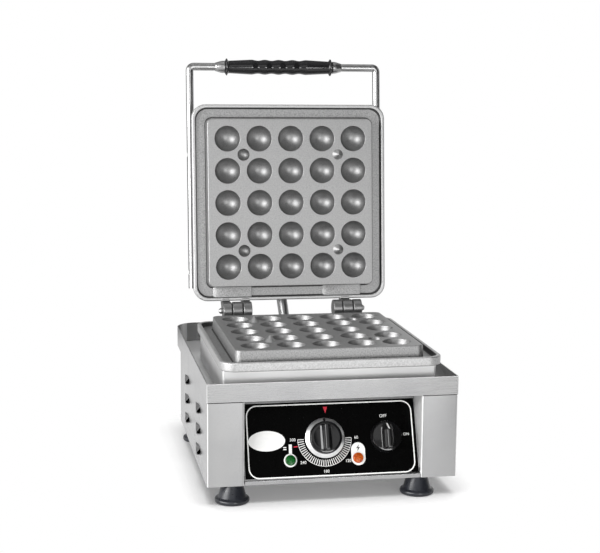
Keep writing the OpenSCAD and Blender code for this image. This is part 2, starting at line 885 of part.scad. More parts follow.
// Drawn sheet cover over the back of the upper plate
module lid_cover() {
    cover_h = cover_top - cover_low;
    color(STEEL) difference() {
        lid_centred() translate([0, 0, cover_low]) difference() {
            round_block(cover_w, cover_w, cover_r, cover_h);
            translate([0, 0, -1])
                round_block(cover_w - 2 * sheet, cover_w - 2 * sheet, cover_r - sheet, cover_h - sheet + 1);
            stud_places() cylinder(h = cover_h + 1, d = stud_d + 0.4);
        }
        lid_placed() {
            translate([lid_gland_x, cover_end, conduit_back]) rotate([90, 0, 0])
                cylinder(h = 6, d = conduit_d - 2 * conduit_wall, center = true);
            rod_screw_places() cylinder(h = 40, d = rod_screw_d + 0.4, center = true);
        }
    }
}

module lid_dome_nuts() {
    color("gainsboro") lid_centred() translate([0, 0, cover_top]) stud_places() difference() {
        union() {
            cylinder(h = dome_seat, d = 11.5, $fn = 6);
            translate([0, 0, dome_seat]) sphere(r = dome_r);
        }
        translate([0, 0, -10]) cylinder(h = dome_seat + 10 + tiny, d = stud_d + tiny);
        translate([0, 0, -20]) cylinder(h = 20, d = 20);
    }
}

// Places where a handle screw passes through a rod, with its head outwards
module rod_screw_places() {
    for (side = [-1, 1], reach = rod_screw_at)
        translate([side * rod_x, -reach, rod_z]) rotate([0, side * 90, 0]) children();
}

module handle_bail() {
    corner_y = -(bar_reach - rod_bend);
    corner_x = rod_x - rod_bend;
    color("silver") lid_placed() difference() {
        translate([0, 0, rod_z]) {
            for (side = [-1, 1])
                translate([side * rod_x, corner_y, 0]) rotate([-90, 0, 0])
                    cylinder(h = -corner_y - rod_end, d = rod_d);
            for (side = [-1, 1])
                translate([side * corner_x, corner_y, 0]) rotate(side < 0 ? 180 : 270)
                    rotate_extrude(angle = 90) translate([rod_bend, 0]) circle(d = rod_d);
            translate([0, -bar_reach, 0]) rod_x_to(-corner_x, corner_x, rod_d);
        }
        rod_screw_places() {
            cylinder(h = 3 * rod_d, d = rod_screw_d + 0.2, center = true);
            translate([0, 0, screw_seat]) cylinder(h = rod_d, d = screw_head_d + clear);
        }
    }
}

module handle_spacers() {
    spacer_len = rod_x - rod_d / 2 - cover_w / 2;
    color("gainsboro") lid_placed() rod_screw_places() translate([0, 0, -rod_d / 2 - spacer_len]) difference() {
        cylinder(h = spacer_len, d = 9);
        translate([0, 0, -1]) cylinder(h = spacer_len + 2, d = rod_screw_d + 0.2);
    }
}

module handle_screws() {
    shank_in = rod_x - cover_w / 2 + sheet + nut_h + 1;
    color("gainsboro") lid_placed() rod_screw_places() {
        translate([0, 0, -shank_in]) cylinder(h = shank_in + screw_seat, d = rod_screw_d);
        translate([0, 0, screw_seat]) cylinder(h = screw_head_h, d = screw_head_d);
    }
}

module handle_nuts() {
    color("gainsboro") lid_placed() rod_screw_places()
        translate([0, 0, -(rod_x - cover_w / 2 + sheet) - nut_h]) difference() {
            cylinder(h = nut_h, d = nut_d, $fn = 6);
            translate([0, 0, -1]) cylinder(h = nut_h + 2, d = rod_screw_d + tiny);
        }
}

module on_bar() {
    lid_placed() translate([grip_x, -bar_reach, rod_z]) rotate([0, 90, 0]) children();
}

// Turned grip that spins on the bar, with finger grooves in its middle
module handle_grip() {
    color(BLACK) on_bar() difference() {
        union() {
            cylinder(h = grip_belly_len, r = grip_r, center = true);
            for (side = [0, 1]) rotate([0, side * 180, 0]) {
                translate([0, 0, grip_belly_len / 2])
                    cylinder(h = (grip_len - grip_belly_len) / 2, r1 = grip_r, r2 = grip_neck_r);
                translate([0, 0, grip_len / 2 - grip_flange_w]) cylinder(h = grip_flange_w, r = grip_flange_r);
            }
        }
        cylinder(h = grip_len + 2, d = rod_d + 2 * grip_clear, center = true);
        for (groove = [0:groove_count - 1])
            translate([0, 0, (groove - (groove_count - 1) / 2) * groove_pitch]) rotate_extrude()
                translate([grip_r + groove_r - groove_depth, 0]) circle(groove_r);
    }
}

module grip_ferrules() {
    color("gainsboro") on_bar() for (side = [0, 1])
        rotate([0, side * 180, 0]) translate([0, 0, grip_len / 2 + ferrule_gap]) difference() {
            union() {
                cylinder(h = ferrule_len - ferrule_tip_len, r = ferrule_r);
                translate([0, 0, ferrule_len - ferrule_tip_len])
                    cylinder(h = ferrule_tip_len, r1 = ferrule_r, r2 = ferrule_tip_r);
            }
            translate([0, 0, -1]) cylinder(h = ferrule_len + 2, d = rod_d + 0.04);
        }
}

left_side_panel();
right_side_panel();
deck_tray();
upper_rear_wall();
rear_panel();
base_plate();
plinth_frame();
lower_plate();
lower_element();
lower_clamp_plate();
lower_insulation();
lower_studs();
lower_stud_nuts();
thermostat_bulb();
hinge_pin_left();
hinge_pin_right();
conduit_hose();
base_conduit_gland();
control_panel();
panel_fascia();
thermostat();
rotary_switch();
green_lamp();
orange_lamp();
terminal_block();
cord_gland();
casing_screws();
front_left_foot();
front_right_foot();
rear_left_foot();
rear_right_foot();
foot_screws();
foot_nuts();
upper_plate();
upper_element();
upper_clamp_plate();
upper_insulation();
lid_studs();
lid_cover();
lid_dome_nuts();
lid_conduit_gland();
handle_bail();
handle_spacers();
handle_screws();
handle_nuts();
grip_ferrules();
handle_grip();
thermostat_spindle();
thermostat_knob();
thermostat_skirt();
switch_spindle();
switch_knob();
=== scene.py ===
# %% [markdown]
# # A countertop waffle-ball baker
#
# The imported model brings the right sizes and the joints. This script gives it its looks: rounded
# castings, bent sheet steel, moulded knobs, a printed panel, a studio floor and a camera. Read it cell by
# cell. Each step says what the piece is, how it could be made, and why it was made this way.

# %% load the frame
import json
import math

import bmesh
import bpy
from mathutils import Matrix, Vector


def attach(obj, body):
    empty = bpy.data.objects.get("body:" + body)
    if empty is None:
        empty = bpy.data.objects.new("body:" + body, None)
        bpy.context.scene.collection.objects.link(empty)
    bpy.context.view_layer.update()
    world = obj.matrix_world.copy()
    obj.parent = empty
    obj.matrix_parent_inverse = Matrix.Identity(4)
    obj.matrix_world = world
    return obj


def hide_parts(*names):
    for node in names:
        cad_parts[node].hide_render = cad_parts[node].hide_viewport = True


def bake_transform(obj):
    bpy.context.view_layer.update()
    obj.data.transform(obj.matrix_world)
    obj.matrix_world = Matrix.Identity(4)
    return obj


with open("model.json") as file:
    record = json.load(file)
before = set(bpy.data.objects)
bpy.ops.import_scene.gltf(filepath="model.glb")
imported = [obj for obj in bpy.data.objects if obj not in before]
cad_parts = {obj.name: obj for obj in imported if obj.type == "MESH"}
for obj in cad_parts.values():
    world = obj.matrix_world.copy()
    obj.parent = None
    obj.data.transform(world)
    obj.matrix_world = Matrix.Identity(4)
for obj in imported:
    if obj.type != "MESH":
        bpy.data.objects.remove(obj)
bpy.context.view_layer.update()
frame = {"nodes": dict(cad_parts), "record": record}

# %% [markdown]
# ## Places
#
# All lengths below are millimetres measured from the casing's front and from the table, as on a drawing.
# Blender works in metres with the origin under the middle of the object. Every number could be converted
# by hand, but one matrix for each group of pieces does it once: the casing, the open lid and the sloped
# panel.

# %% places
MM = 0.001
OPEN_ANGLE = math.radians(95.2)
PANEL_TILT = math.radians(22)
PANEL_Y, PANEL_Z = 2.5, 27.0
HINGE_Y, HINGE_Z = 282.5, 178.4
FRONT_REACH, BACK_REACH = -7.5, 384.0
DEPTH_MID = (FRONT_REACH + BACK_REACH) / 2

casing_place = Matrix.Scale(MM, 4) @ Matrix.Translation((0, -DEPTH_MID, 0))
hinge_place = casing_place @ Matrix.Translation((0, HINGE_Y, HINGE_Z))
lid_place = hinge_place @ Matrix.Rotation(-OPEN_ANGLE, 4, "X")
panel_foot = casing_place @ Matrix.Translation((0, PANEL_Y, PANEL_Z))
panel_place = panel_foot @ Matrix.Rotation(math.pi / 2 - PANEL_TILT, 4, "X")
print("middle of the depth:", round(DEPTH_MID, 2), "mm behind the casing front")

# %% [markdown]
# ## Camera
#
# The camera was matched to the photograph by fitting the edges of the casing and the plates: a short
# telephoto from the left, a little above the lid's middle, looking slightly down and rolled half a
# degree. It could be aimed with a constraint, but a matrix built from its three axes also holds the roll.

# %% camera
CAMERA_AT = (-323.45, -1499.37, 502.09)
YAW, PITCH, ROLL = math.radians(10.61), math.radians(8.74), math.radians(0.50)
FOCAL_PX, IMAGE_W = 1347.65, 600
SENSOR_MM, FAR_M = 36, 50

forward = Vector((math.sin(YAW) * math.cos(PITCH), math.cos(YAW) * math.cos(PITCH), -math.sin(PITCH)))
level_right = Vector((math.cos(YAW), -math.sin(YAW), 0))
level_up = level_right.cross(forward)
right = level_right * math.cos(ROLL) + level_up * math.sin(ROLL)
up = level_up * math.cos(ROLL) - level_right * math.sin(ROLL)

camera_data = bpy.data.cameras.new("camera")
camera_data.sensor_width = SENSOR_MM
camera_data.sensor_fit = "HORIZONTAL"
camera_data.lens = FOCAL_PX / IMAGE_W * SENSOR_MM
camera_data.clip_end = FAR_M
camera = bpy.data.objects.new("camera", camera_data)
turn = Matrix((right, up, -forward)).transposed().to_4x4()
camera.matrix_world = Matrix.Translation(casing_place @ Vector(CAMERA_AT)) @ turn
bpy.context.collection.objects.link(camera)
bpy.context.scene.camera = camera
print("lens:", round(camera_data.lens, 1), "mm")

# %% [markdown]
# ## Building blocks for materials
#
# A material is a graph of small nodes. One function adds a node, sets its values and links its inputs,
# and another starts a material with its shader. Colours are written as they look on a screen and turned
# into the linear values that a renderer works with. A pattern's size is a real one in millimetres.

# %% helpers for materials
def linear(hex_colour):
    channels = [int(hex_colour[i:i + 2], 16) / 255 for i in (1, 3, 5)]
    return tuple(c / 12.92 if c <= 0.04045 else ((c + 0.055) / 1.055) ** 2.4 for c in channels) + (1.0,)


def node(tree, kind, inputs=None, **settings):
    """Add a node. An input is a value, a socket, or another node, which stands for its first output."""
    made = tree.nodes.new(kind)
    for name, value in settings.items():
        setattr(made, name, value)
    for name, value in (inputs or {}).items():
        source = value.outputs[0] if isinstance(value, bpy.types.Node) else value
        if isinstance(source, bpy.types.NodeSocket):
            tree.links.new(source, made.inputs[name])
        else:
            made.inputs[name].default_value = source
    return made


def material(name, **values):
    made = bpy.data.materials.new(name)
    made.use_nodes = True
    tree = made.node_tree
    shader = tree.nodes["Principled BSDF"]
    for socket, value in values.items():
        shader.inputs[socket.replace("_", " ")].default_value = value
    place = node(tree, "ShaderNodeTexCoord").outputs["Object"]
    return made, tree, shader, place


def per_metre(size_mm):
    return 1 / (size_mm * MM)


print("mid grey in linear light:", round(linear("#808080")[0], 3))

# %% [markdown]
# Most finishes here work alike: a pattern shades the colour between two close tones, makes the surface
# smoother or rougher and raises tiny bumps. Each could be set up by hand, but one function keeps them
# alike. A noise mostly stays between 0.3 and 0.7, so that stretch of it is spread over the whole range.

# %% dressing a shader with a pattern
NOISE_LOW, NOISE_HIGH = 0.3, 0.7


def dress(tree, shader, tone, grain, colours, smooth, rough, depth_mm=0.0, strength=0.0):
    """Let `tone` shade the colour, and `grain` steer the roughness and the bumps."""
    ends = {"From Min": NOISE_LOW, "From Max": NOISE_HIGH}
    shade = node(tree, "ShaderNodeMapRange", {"Value": tone, **ends})
    # Sockets 6 and 7 of a colour mix are its two colours, and output 2 is the mixed one
    pair = {"Factor": shade, 6: linear(colours[0]), 7: linear(colours[1])}
    colour = node(tree, "ShaderNodeMix", pair, data_type="RGBA").outputs[2]
    tree.links.new(colour, shader.inputs["Base Color"])
    blur = node(tree, "ShaderNodeMapRange", {"Value": grain, **ends, "To Min": smooth, "To Max": rough})
    tree.links.new(blur.outputs[0], shader.inputs["Roughness"])
    if depth_mm:
        bumps = {"Height": grain, "Strength": strength, "Distance": depth_mm * MM}
        bump = node(tree, "ShaderNodeBump", bumps)
        tree.links.new(bump.outputs[0], shader.inputs["Normal"])


print("a noise of", NOISE_LOW, "to", NOISE_HIGH, "covers a finish's whole range")

# %% [markdown]
# ## Stainless steel
#
# The casing is stainless sheet brushed with an abrasive belt: scratches that are centimetres long. A
# picture of scratches would need unwrapped sheets. A noise stretched along the sheet needs none and never
# repeats. It varies the roughness and barely tilts the surface, so reflections blur into streaks that
# follow the grain.

# %% brushed and blasted steel
# Real scratches lie a tenth of a millimetre apart, too fine for the picture, so they are drawn coarser
SCRATCH_MM, SCRATCH_STRETCH, SCRATCH_DEPTH_MM, CLOUD_MM = 0.25, 160, 0.004, 60
across, front_to_back, upright = [
    tuple(SCRATCH_STRETCH if axis == along else 1 for axis in range(3)) for along in range(3)
]


def brushed_steel(name, stretch, colours, smooth, rough, metal=1.0):
    made, tree, shader, place = material(name, Metallic=metal)
    scale = [per_metre(SCRATCH_MM * s) for s in stretch]
    drawn_out = node(tree, "ShaderNodeMapping", {"Vector": place, "Scale": scale})
    scratches = node(tree, "ShaderNodeTexNoise", {"Vector": drawn_out, "Scale": 1.0, "Detail": 2.0})
    clouds = node(tree, "ShaderNodeTexNoise", {"Vector": place, "Scale": per_metre(CLOUD_MM), "Detail": 2.0})
    dress(tree, shader, clouds, scratches, colours, smooth, rough, SCRATCH_DEPTH_MM, strength=0.2)
    return made


# Brushed sheet gives soft reflections with faint streaks, level on the front and running back on the sides
steel_across = brushed_steel(
    "stainless sheet brushed across", across, ("#a3a3a4", "#adadad"), smooth=0.22, rough=0.32)
steel_deep = brushed_steel(
    "stainless sheet brushed front to back", front_to_back, ("#a5a5a6", "#afafaf"), smooth=0.26, rough=0.36)
# Blasting leaves tiny craters, so the deck and the plinth are half matt. Their pale steel is
# painted light, which lifts them where they lie in shade
steel_satin_painted_light = brushed_steel(
    "stainless sheet bead-blasted", across, ("#e4e4e4", "#eeeeee"), smooth=0.36, rough=0.46, metal=0.5)
steel_frame_painted_light = brushed_steel(
    "stainless frame bead-blasted fine with painted light", across, ("#d8d8d8", "#e2e2e2"), smooth=0.36, rough=0.46, metal=0.65)
# Edges and bends get a lighter steel, a painted highlight that shows as thin bright lines
steel_edge_painted_highlight = brushed_steel(
    "stainless edge with painted highlight", across, ("#dcdcdc", "#e6e6e6"), smooth=0.30, rough=0.40, metal=0.6)
# A tube is drawn through a ring, so its streaks run along it; its steel is a darker grey
drawn_tube = brushed_steel(
    "stainless tube as drawn", upright, ("#8c8c8c", "#9a9a9a"), smooth=0.32, rough=0.42)

# Polished rod has no grain, and a slow waviness keeps its bright lines from looking drawn with a ruler
POLISH_TONE_MM, POLISH_WAVE_MM = 8, 3
polished_steel, tree, shader, place = material("stainless rod polished bright", Metallic=1.0)
tone = node(tree, "ShaderNodeTexNoise", {"Vector": place, "Scale": per_metre(POLISH_TONE_MM), "Detail": 3.0})
wave = node(tree, "ShaderNodeTexNoise", {"Vector": place, "Scale": per_metre(POLISH_WAVE_MM), "Detail": 3.0})
dress(tree, shader, tone, wave, ("#a1a1a1", "#a7a7a7"), smooth=0.28, rough=0.36)
print("scratches:", SCRATCH_MM, "mm wide and", SCRATCH_MM * SCRATCH_STRETCH, "mm long")

# %% [markdown]
# ## Cast aluminium
#
# The two plates are cast in sand and then worked: the faces are machined and blasted, the cups turned,
# and the rim is linished on a belt. What no tool reached keeps the grey skin of the sand. The finishes
# could be painted on as masks. Here each is a material of its own with a sandy grain, and faces get them
# by their place.

# %% cast plates
def cast_aluminium(name, colours, metal, grain_mm, smooth, rough, depth_mm, strength):
    made, tree, shader, place = material(name, Metallic=metal)
    # Sand is finer than half a millimetre. The grain is drawn two or three times coarser, so that it shows
    grain = node(tree, "ShaderNodeTexNoise", {"Vector": place, "Scale": per_metre(grain_mm), "Detail": 4.0})
    dress(tree, shader, grain, grain, colours, smooth, rough, depth_mm, strength)
    return made


# Turned cups are the smoothest, so each runs from a dark side to one broad highlight
cast_cup = cast_aluminium(
    "aluminium turned in a cup", ("#888888", "#a2a2a2"),
    metal=1.0, grain_mm=1.2, smooth=0.42, rough=0.50, depth_mm=0.08, strength=0.5)
# A blasted face is an even satin grey
cast_face = cast_aluminium(
    "machined and blasted aluminium", ("#8a8a8a", "#a4a4a4"),
    metal=1.0, grain_mm=1.2, smooth=0.45, rough=0.55, depth_mm=0.08, strength=0.5)
# The skin as cast is pebbled and breaks up every highlight
cast_skin = cast_aluminium(
    "aluminium as sand-cast", ("#7c7c7c", "#acacac"),
    metal=0.85, grain_mm=1.5, smooth=0.42, rough=0.58, depth_mm=0.2, strength=0.8)
# The rim is brighter where the belt took the skin off
cast_rim = cast_aluminium(
    "aluminium linished by belt", ("#a0a0a0", "#c2c2c2"),
    metal=0.85, grain_mm=1.4, smooth=0.42, rough=0.54, depth_mm=0.10, strength=0.7)
# The moat's inner corners take a dark skin: painted shade along the feet of the block and the rim's wall
cast_corner_painted_shade = cast_aluminium(
    "dark casting skin in a corner", ("#3c3c3c", "#585858"),
    metal=0.6, grain_mm=1.6, smooth=0.50, rough=0.66, depth_mm=0.2, strength=0.8)

# Milled lugs shine more and show the tool's fine parallel marks
TOOL_MARK_MM, TOOL_MARK_STRETCH = 0.3, 60
milled, tree, shader, place = material("milled aluminium", Metallic=1.0)
mark_scale = (per_metre(TOOL_MARK_MM * TOOL_MARK_STRETCH), per_metre(TOOL_MARK_MM), per_metre(TOOL_MARK_MM))
drawn_out = node(tree, "ShaderNodeMapping", {"Vector": place, "Scale": mark_scale})
tool_marks = node(tree, "ShaderNodeTexNoise", {"Vector": drawn_out, "Scale": 1.0, "Detail": 2.0})
dress(tree, shader, tool_marks, tool_marks, ("#848484", "#8f8f8f"), 0.34, 0.46, depth_mm=0.01, strength=0.4)
print("casting finishes: cup, face, skin, rim, corner and milled lugs")

# %% [markdown]
# ## Plastics, rubber, print and what lies inside
#
# Moulded plastic takes the polish of its mould, rubber stays duller, and ink dries flat and even. These
# could be plain colours, but a faint mottle of a few millimetres keeps a highlight from looking perfect.

# %% plastics, rubber and print
def coated(name, colours, grain_mm, smooth, rough, bump_mm=0.01, **values):
    made, tree, shader, place = material(name, **values)
    grain = node(tree, "ShaderNodeTexNoise", {"Vector": place, "Scale": per_metre(grain_mm), "Detail": 3.0})
    dress(tree, shader, grain, grain, colours, smooth, rough, bump_mm, strength=0.3)
    return made


# Phenolic moulded in a polished tool: deep black with small sharp highlights
knob_plastic = coated(
    "gloss black moulded phenolic", ("#0b0b0c", "#141415"), grain_mm=3, smooth=0.07, rough=0.12)
grip_plastic = coated(
    "black moulded phenolic", ("#161617", "#202021"), grain_mm=2, smooth=0.08, rough=0.13, bump_mm=0.02)
# Polyamide from a rougher tool: an even grey without highlights
grey_plastic = coated("grey moulded polyamide", ("#83837f", "#90908c"), grain_mm=3, smooth=0.45, rough=0.55)
# Rubber: a blue-black with wide soft highlights
rubber = coated(
    "black moulded nitrile rubber", ("#1c1e23", "#26282e"), grain_mm=4, smooth=0.26, rough=0.36, bump_mm=0.02)
# Polyester film printed black behind: so dark that it shows almost nothing of the room
fascia_film = coated(
    "gloss black polyester film", ("#020202", "#040404"),
    grain_mm=6, smooth=0.20, rough=0.28, bump_mm=0.003, Specular_IOR_Level=0.03)
# Screen print: flat colour. The screen's threads are finer than its grain here, which is drawn to show
white_ink = coated("white screen-printed ink", ("#f0f0ee", "#f8f8f6"), grain_mm=0.6, smooth=0.40, rough=0.50)
red_ink = coated("red screen-printed ink", ("#b8162e", "#c92038"), grain_mm=0.6, smooth=0.40, rough=0.50)
black_ink = coated("black screen-printed ink", ("#0a0a0a", "#101010"), grain_mm=0.6, smooth=0.40, rough=0.50)
# Hot-stamped foil: a bright silver ring round the knob
foil = coated(
    "silver hot-stamped foil", ("#dcdcdc", "#ececec"), grain_mm=5, smooth=0.28, rough=0.36, Metallic=1.0)
# Inside the casing: pale tufts of wool, red drawn copper and the dull oxide of a heater's sheath
wool = coated(
    "pressed mineral wool", ("#c4b48c", "#d8c9a4"), grain_mm=1.2, smooth=0.90, rough=1.00, bump_mm=0.4)
copper = coated("drawn copper", ("#a96a43", "#c07f55"), grain_mm=4, smooth=0.28, rough=0.38, Metallic=1.0)
sheath = coated(
    "oxidised stainless sheath", ("#55524e", "#6e6a65"), grain_mm=3, smooth=0.45, rough=0.60, Metallic=0.8)
print("materials so far:", len(bpy.data.materials))

# %% [markdown]
# A pilot lamp's lens is clear coloured acrylic with facets moulded inside. Clear acrylic over real facets
# would be slow to render and too small to see. Cells of about the facets' size stand for them instead:
# each cell is painted lighter in its middle, a painted highlight, and tilts the surface a little, so the
# lens sparkles. A faint emission is a painted glow, though the lamps are off.

# %% lamp lenses
FACET_MM, FACET_DEPTH_MM, FACET_MIDDLE, FACET_EDGE = 1.7, 0.3, 0.1, 0.7


def lens(name, dark, light, glow):
    made, tree, shader, place = material(name, Roughness=0.16, IOR=1.49, Specular_IOR_Level=0.3)
    cells = node(tree, "ShaderNodeTexVoronoi", {"Vector": place, "Scale": per_metre(FACET_MM)})
    # Each cell is painted lighter in its middle: a painted highlight for a facet's sparkle
    ends = {"From Min": FACET_MIDDLE, "From Max": FACET_EDGE}
    shade = node(tree, "ShaderNodeMapRange", {"Value": cells, **ends})
    pair = {"Factor": shade, 6: linear(light), 7: linear(dark)}
    colour = node(tree, "ShaderNodeMix", pair, data_type="RGBA").outputs[2]
    tree.links.new(colour, shader.inputs["Base Color"])
    bump = node(tree, "ShaderNodeBump", {"Height": cells, "Strength": 0.6, "Distance": FACET_DEPTH_MM * MM})
    tree.links.new(bump.outputs[0], shader.inputs["Normal"])
    # A faint emission in the light colour: a painted glow on a lamp that is off
    shader.inputs["Emission Color"].default_value = linear(light)
    shader.inputs["Emission Strength"].default_value = glow
    return made


# Unlit lenses: deep colour with painted points of light and a faint painted glow
green_lens = lens("green faceted acrylic lens", "#053a12", "#0c6a22", 0.02)
orange_lens = lens("orange faceted acrylic lens", "#8e3408", "#cc661e", 0.05)
print("lens facets:", FACET_MM, "mm")

# %% [markdown]
# ## Ways of making a mesh
#
# Every piece is a mesh that rides one of the five bodies, so that it moves with its joint. A mesh could
# be built with Blender's modelling operators, but those depend on what is selected. Points and faces
# worked out in a function give the same mesh each time. Edges sharper than a set angle stay crisp, and
# the rest is shaded smooth.

# %% from points to a piece that rides a body
WELD_M, FLAT_ANGLE = 1e-6, math.radians(1)


def cleaned(mesh, weld, merge_flat=False):
    fix = bmesh.new()
    fix.from_mesh(mesh)
    bmesh.ops.remove_doubles(fix, verts=fix.verts, dist=weld)
    if merge_flat:
        bmesh.ops.dissolve_limit(fix, angle_limit=FLAT_ANGLE, verts=fix.verts, edges=fix.edges)
    bmesh.ops.recalc_face_normals(fix, faces=fix.faces)
    fix.to_mesh(mesh)
    fix.free()
    return mesh


def wrap(name, mesh, body, mat, replaces=(), sharp=40):
    cleaned(mesh, WELD_M)
    mesh.materials.clear()
    mesh.materials.append(mat)
    mesh.shade_smooth()
    mesh.set_sharp_from_angle(angle=math.radians(sharp))
    made = bpy.data.objects.new(name, mesh)
    bpy.context.collection.objects.link(made)
    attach(made, body)
    if replaces:
        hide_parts(*replaces)
    return made


def piece(name, shape, place, body, mat, replaces=(), sharp=40):
    vertices, faces = shape
    mesh = bpy.data.meshes.new(name)
    mesh.from_pydata([place @ Vector(v) for v in vertices], [], faces)
    return wrap(name, mesh, body, mat, replaces, sharp)


print("points closer than", WELD_M * 1e6, "micrometre are welded")

# %% [markdown]
# A few ways of making points cover the whole object. A lathe turns an outline round an axis, for knobs,
# feet and the grip. A stack joins closed loops of points one above the other, for pans, castings and
# lugs. Shapes are plain pairs of points and faces, so they can be shifted and put together before they
# become a mesh.

# %% outlines, lathes and stacks
def arc(cx, cz, radius, start, stop, steps):
    angles = [math.radians(start + (stop - start) * i / steps) for i in range(steps + 1)]
    return [(cx + radius * math.cos(a), cz + radius * math.sin(a)) for a in angles]


def lathe(profile, steps=64):
    vertices, faces = [], []
    for step in range(steps):
        angle = 2 * math.pi * step / steps
        vertices += [(r * math.cos(angle), r * math.sin(angle), h) for r, h in profile]
    count = len(profile)
    for step in range(steps):
        near, far = step * count, (step + 1) % steps * count
        faces += [(near + i, far + i, far + i + 1, near + i + 1) for i in range(count - 1)]
    return vertices, faces


def stacked(loops):
    vertices = [v for loop in loops for v in loop]
    count = len(loops[0])
    faces = []
    for k in range(len(loops) - 1):
        low, high = k * count, (k + 1) * count
        faces += [(low + i, low + (i + 1) % count, high + (i + 1) % count, high + i) for i in range(count)]
    return vertices, faces


def capped(shape, count):
    vertices, faces = shape
    first, last = tuple(range(count)), tuple(range(len(vertices) - count, len(vertices)))
    return vertices, faces + [first, last]


def shifted(shape, x, y, z=0):
    return [Vector(v) + Vector((x, y, z)) for v in shape[0]], shape[1]


def together(shapes):
    vertices, faces = [], []
    for points, polygons in shapes:
        first = len(vertices)
        vertices += [Vector(p) for p in points]
        faces += [tuple(first + i for i in polygon) for polygon in polygons]
    return vertices, faces


print("a plain ring of 64 steps has", len(lathe([(1, 0), (1, 1)])[0]), "points")

# %% [markdown]
# No real edge is perfectly sharp, and a narrow rounding is where the light catches. A bevel modifier
# rounds the edges of a piece without touching its faces. For sheet metal, a softened copy of the packed
# node gets it: the copy keeps the construction's exact shape, and the bevel can give the edges a lighter
# metal of their own, a painted highlight.

# %% rounded edges and softened copies
PAINTED_HIGHLIGHT_SLOT = 1


def rounded(made, width_mm, segments=2, angle=35):
    bevel = made.modifiers.new("rounded edges", "BEVEL")
    bevel.width = width_mm * MM
    bevel.segments = segments
    bevel.limit_method = "ANGLE"
    bevel.angle_limit = math.radians(angle)
    bevel.harden_normals = True
    return made


def weighted(made):
    modifier = made.modifiers.new("weighted normals", "WEIGHTED_NORMAL")
    modifier.keep_sharp = True
    return made


def softened(cad_node, mat, width_mm=0.5, edge=None):
    mesh = cleaned(frame["nodes"][cad_node].data.copy(), WELD_M, merge_flat=True)
    bodies = frame["record"]["behaviour"]["bodies"]
    body = next(name for name, nodes in bodies.items() if cad_node in nodes)
    made = rounded(wrap(cad_node + "_sheet", mesh, body, mat, [cad_node], 30), width_mm)
    if edge is not None:
        # A given edge material covers the bevel's faces: on the casing a lighter steel, a painted highlight
        made.data.materials.append(edge)
        made.modifiers["rounded edges"].material = PAINTED_HIGHLIGHT_SLOT
    return made


print("nodes to choose from:", len(frame["nodes"]))

# %% [markdown]
# ## The two baking plates
#
# One casting serves as both plates. Its outlines are rounded squares, one above the other. A bevelled
# cube could give them, but the loops here all have the same number of points, so they stack without odd
# triangles, and the corner radius can change from the face to the rim.

# %% rounded squares
SIDE_STEPS, CORNER_STEPS = 60, 8


def square_loop(width, depth, radius, z):
    points = []
    straight = SIDE_STEPS - 2 * CORNER_STEPS
    for side in range(4):
        length, breadth = (width, depth) if side % 2 == 0 else (depth, width)
        turned = Matrix.Rotation(math.pi / 2 * side, 3, "Z")
        for i in range(SIDE_STEPS):
            share = min(max((i - CORNER_STEPS) / straight, 0), 1)
            bend = min(i - CORNER_STEPS, 0) + max(i - CORNER_STEPS - straight, 0)
            angle = math.radians(270 + 45 * bend / CORNER_STEPS)
            x = (share - 0.5) * (length - 2 * radius) + radius * math.cos(angle)
            y = -breadth / 2 + radius + radius * math.sin(angle)
            points.append(turned @ Vector((x, y, z)))
    return points


def square_outline(half, per_side):
    step = 2 * half / per_side
    points = []
    for side in range(4):
        turned = Matrix.Rotation(math.pi / 2 * side, 3, "Z")
        points += [turned @ Vector((-half + step * i, -half, 0)) for i in range(per_side)]
    return points


print("points in a rounded square:", 4 * SIDE_STEPS)

# %% [markdown]
# The face is a grid of twenty-five square cells with a half-round cup in each. In a cell, rings of points
# lead from the square to the cup's lip and down the bowl to its middle. A boolean with balls would be
# quicker to write, but it leaves sharp lips, and the photograph shows small rounded ones.

# %% cups and their cells
CUPS, CUP_PITCH, CUP_R, LIP_R = 5, 43.2, 17.0, 0.7
RING_STEPS, BOWL_STEPS, BOWL_END = 48, 14, -84


def cup_profile():
    wall = math.sqrt(CUP_R ** 2 - LIP_R ** 2)
    lip = arc(wall + LIP_R, -LIP_R, LIP_R, 90, 180, 3)
    start = math.degrees(math.asin(LIP_R / CUP_R))
    bowl = arc(0, 0, CUP_R, -start, BOWL_END, BOWL_STEPS)
    return lip + bowl[1:]


def cup_cell():
    loops = [square_outline(CUP_PITCH / 2, RING_STEPS // 4)]
    angles = [math.radians(225 + 360 * k / RING_STEPS) for k in range(RING_STEPS)]
    for radius, z in cup_profile():
        loops.append([Vector((radius * math.cos(a), radius * math.sin(a), z)) for a in angles])
    vertices, faces = stacked(loops)
    bottom = len(vertices)
    last = bottom - RING_STEPS
    faces += [(last + k, last + (k + 1) % RING_STEPS, bottom) for k in range(RING_STEPS)]
    return vertices + [Vector((0, 0, -CUP_R))], faces


print("one cell:", len(cup_cell()[0]), "points")

# %% [markdown]
# Round the grid, the block's side falls into a drip moat, and the rim rises again outside it. The outline
# from the face's edge to the underside is drawn once, with an arc for every rounding, and each of its
# points becomes one rounded square. A casting can have no sharp inner corner, since sand would break out
# there.

# %% moat and rim
FACE_W, FACE_R, RIM_W, RIM_R = 227.0, 8.0, 266.0, 19.0
PLATE_T, RIM_DROP, RIM_T, MOAT_FLOOR = 21.5, 10.4, 5.0, -17.0
EDGE_R, FILLET_R, RIM_LIP_R, BLOCK_DRAFT = 1.3, 2.0, 1.6, 0.9


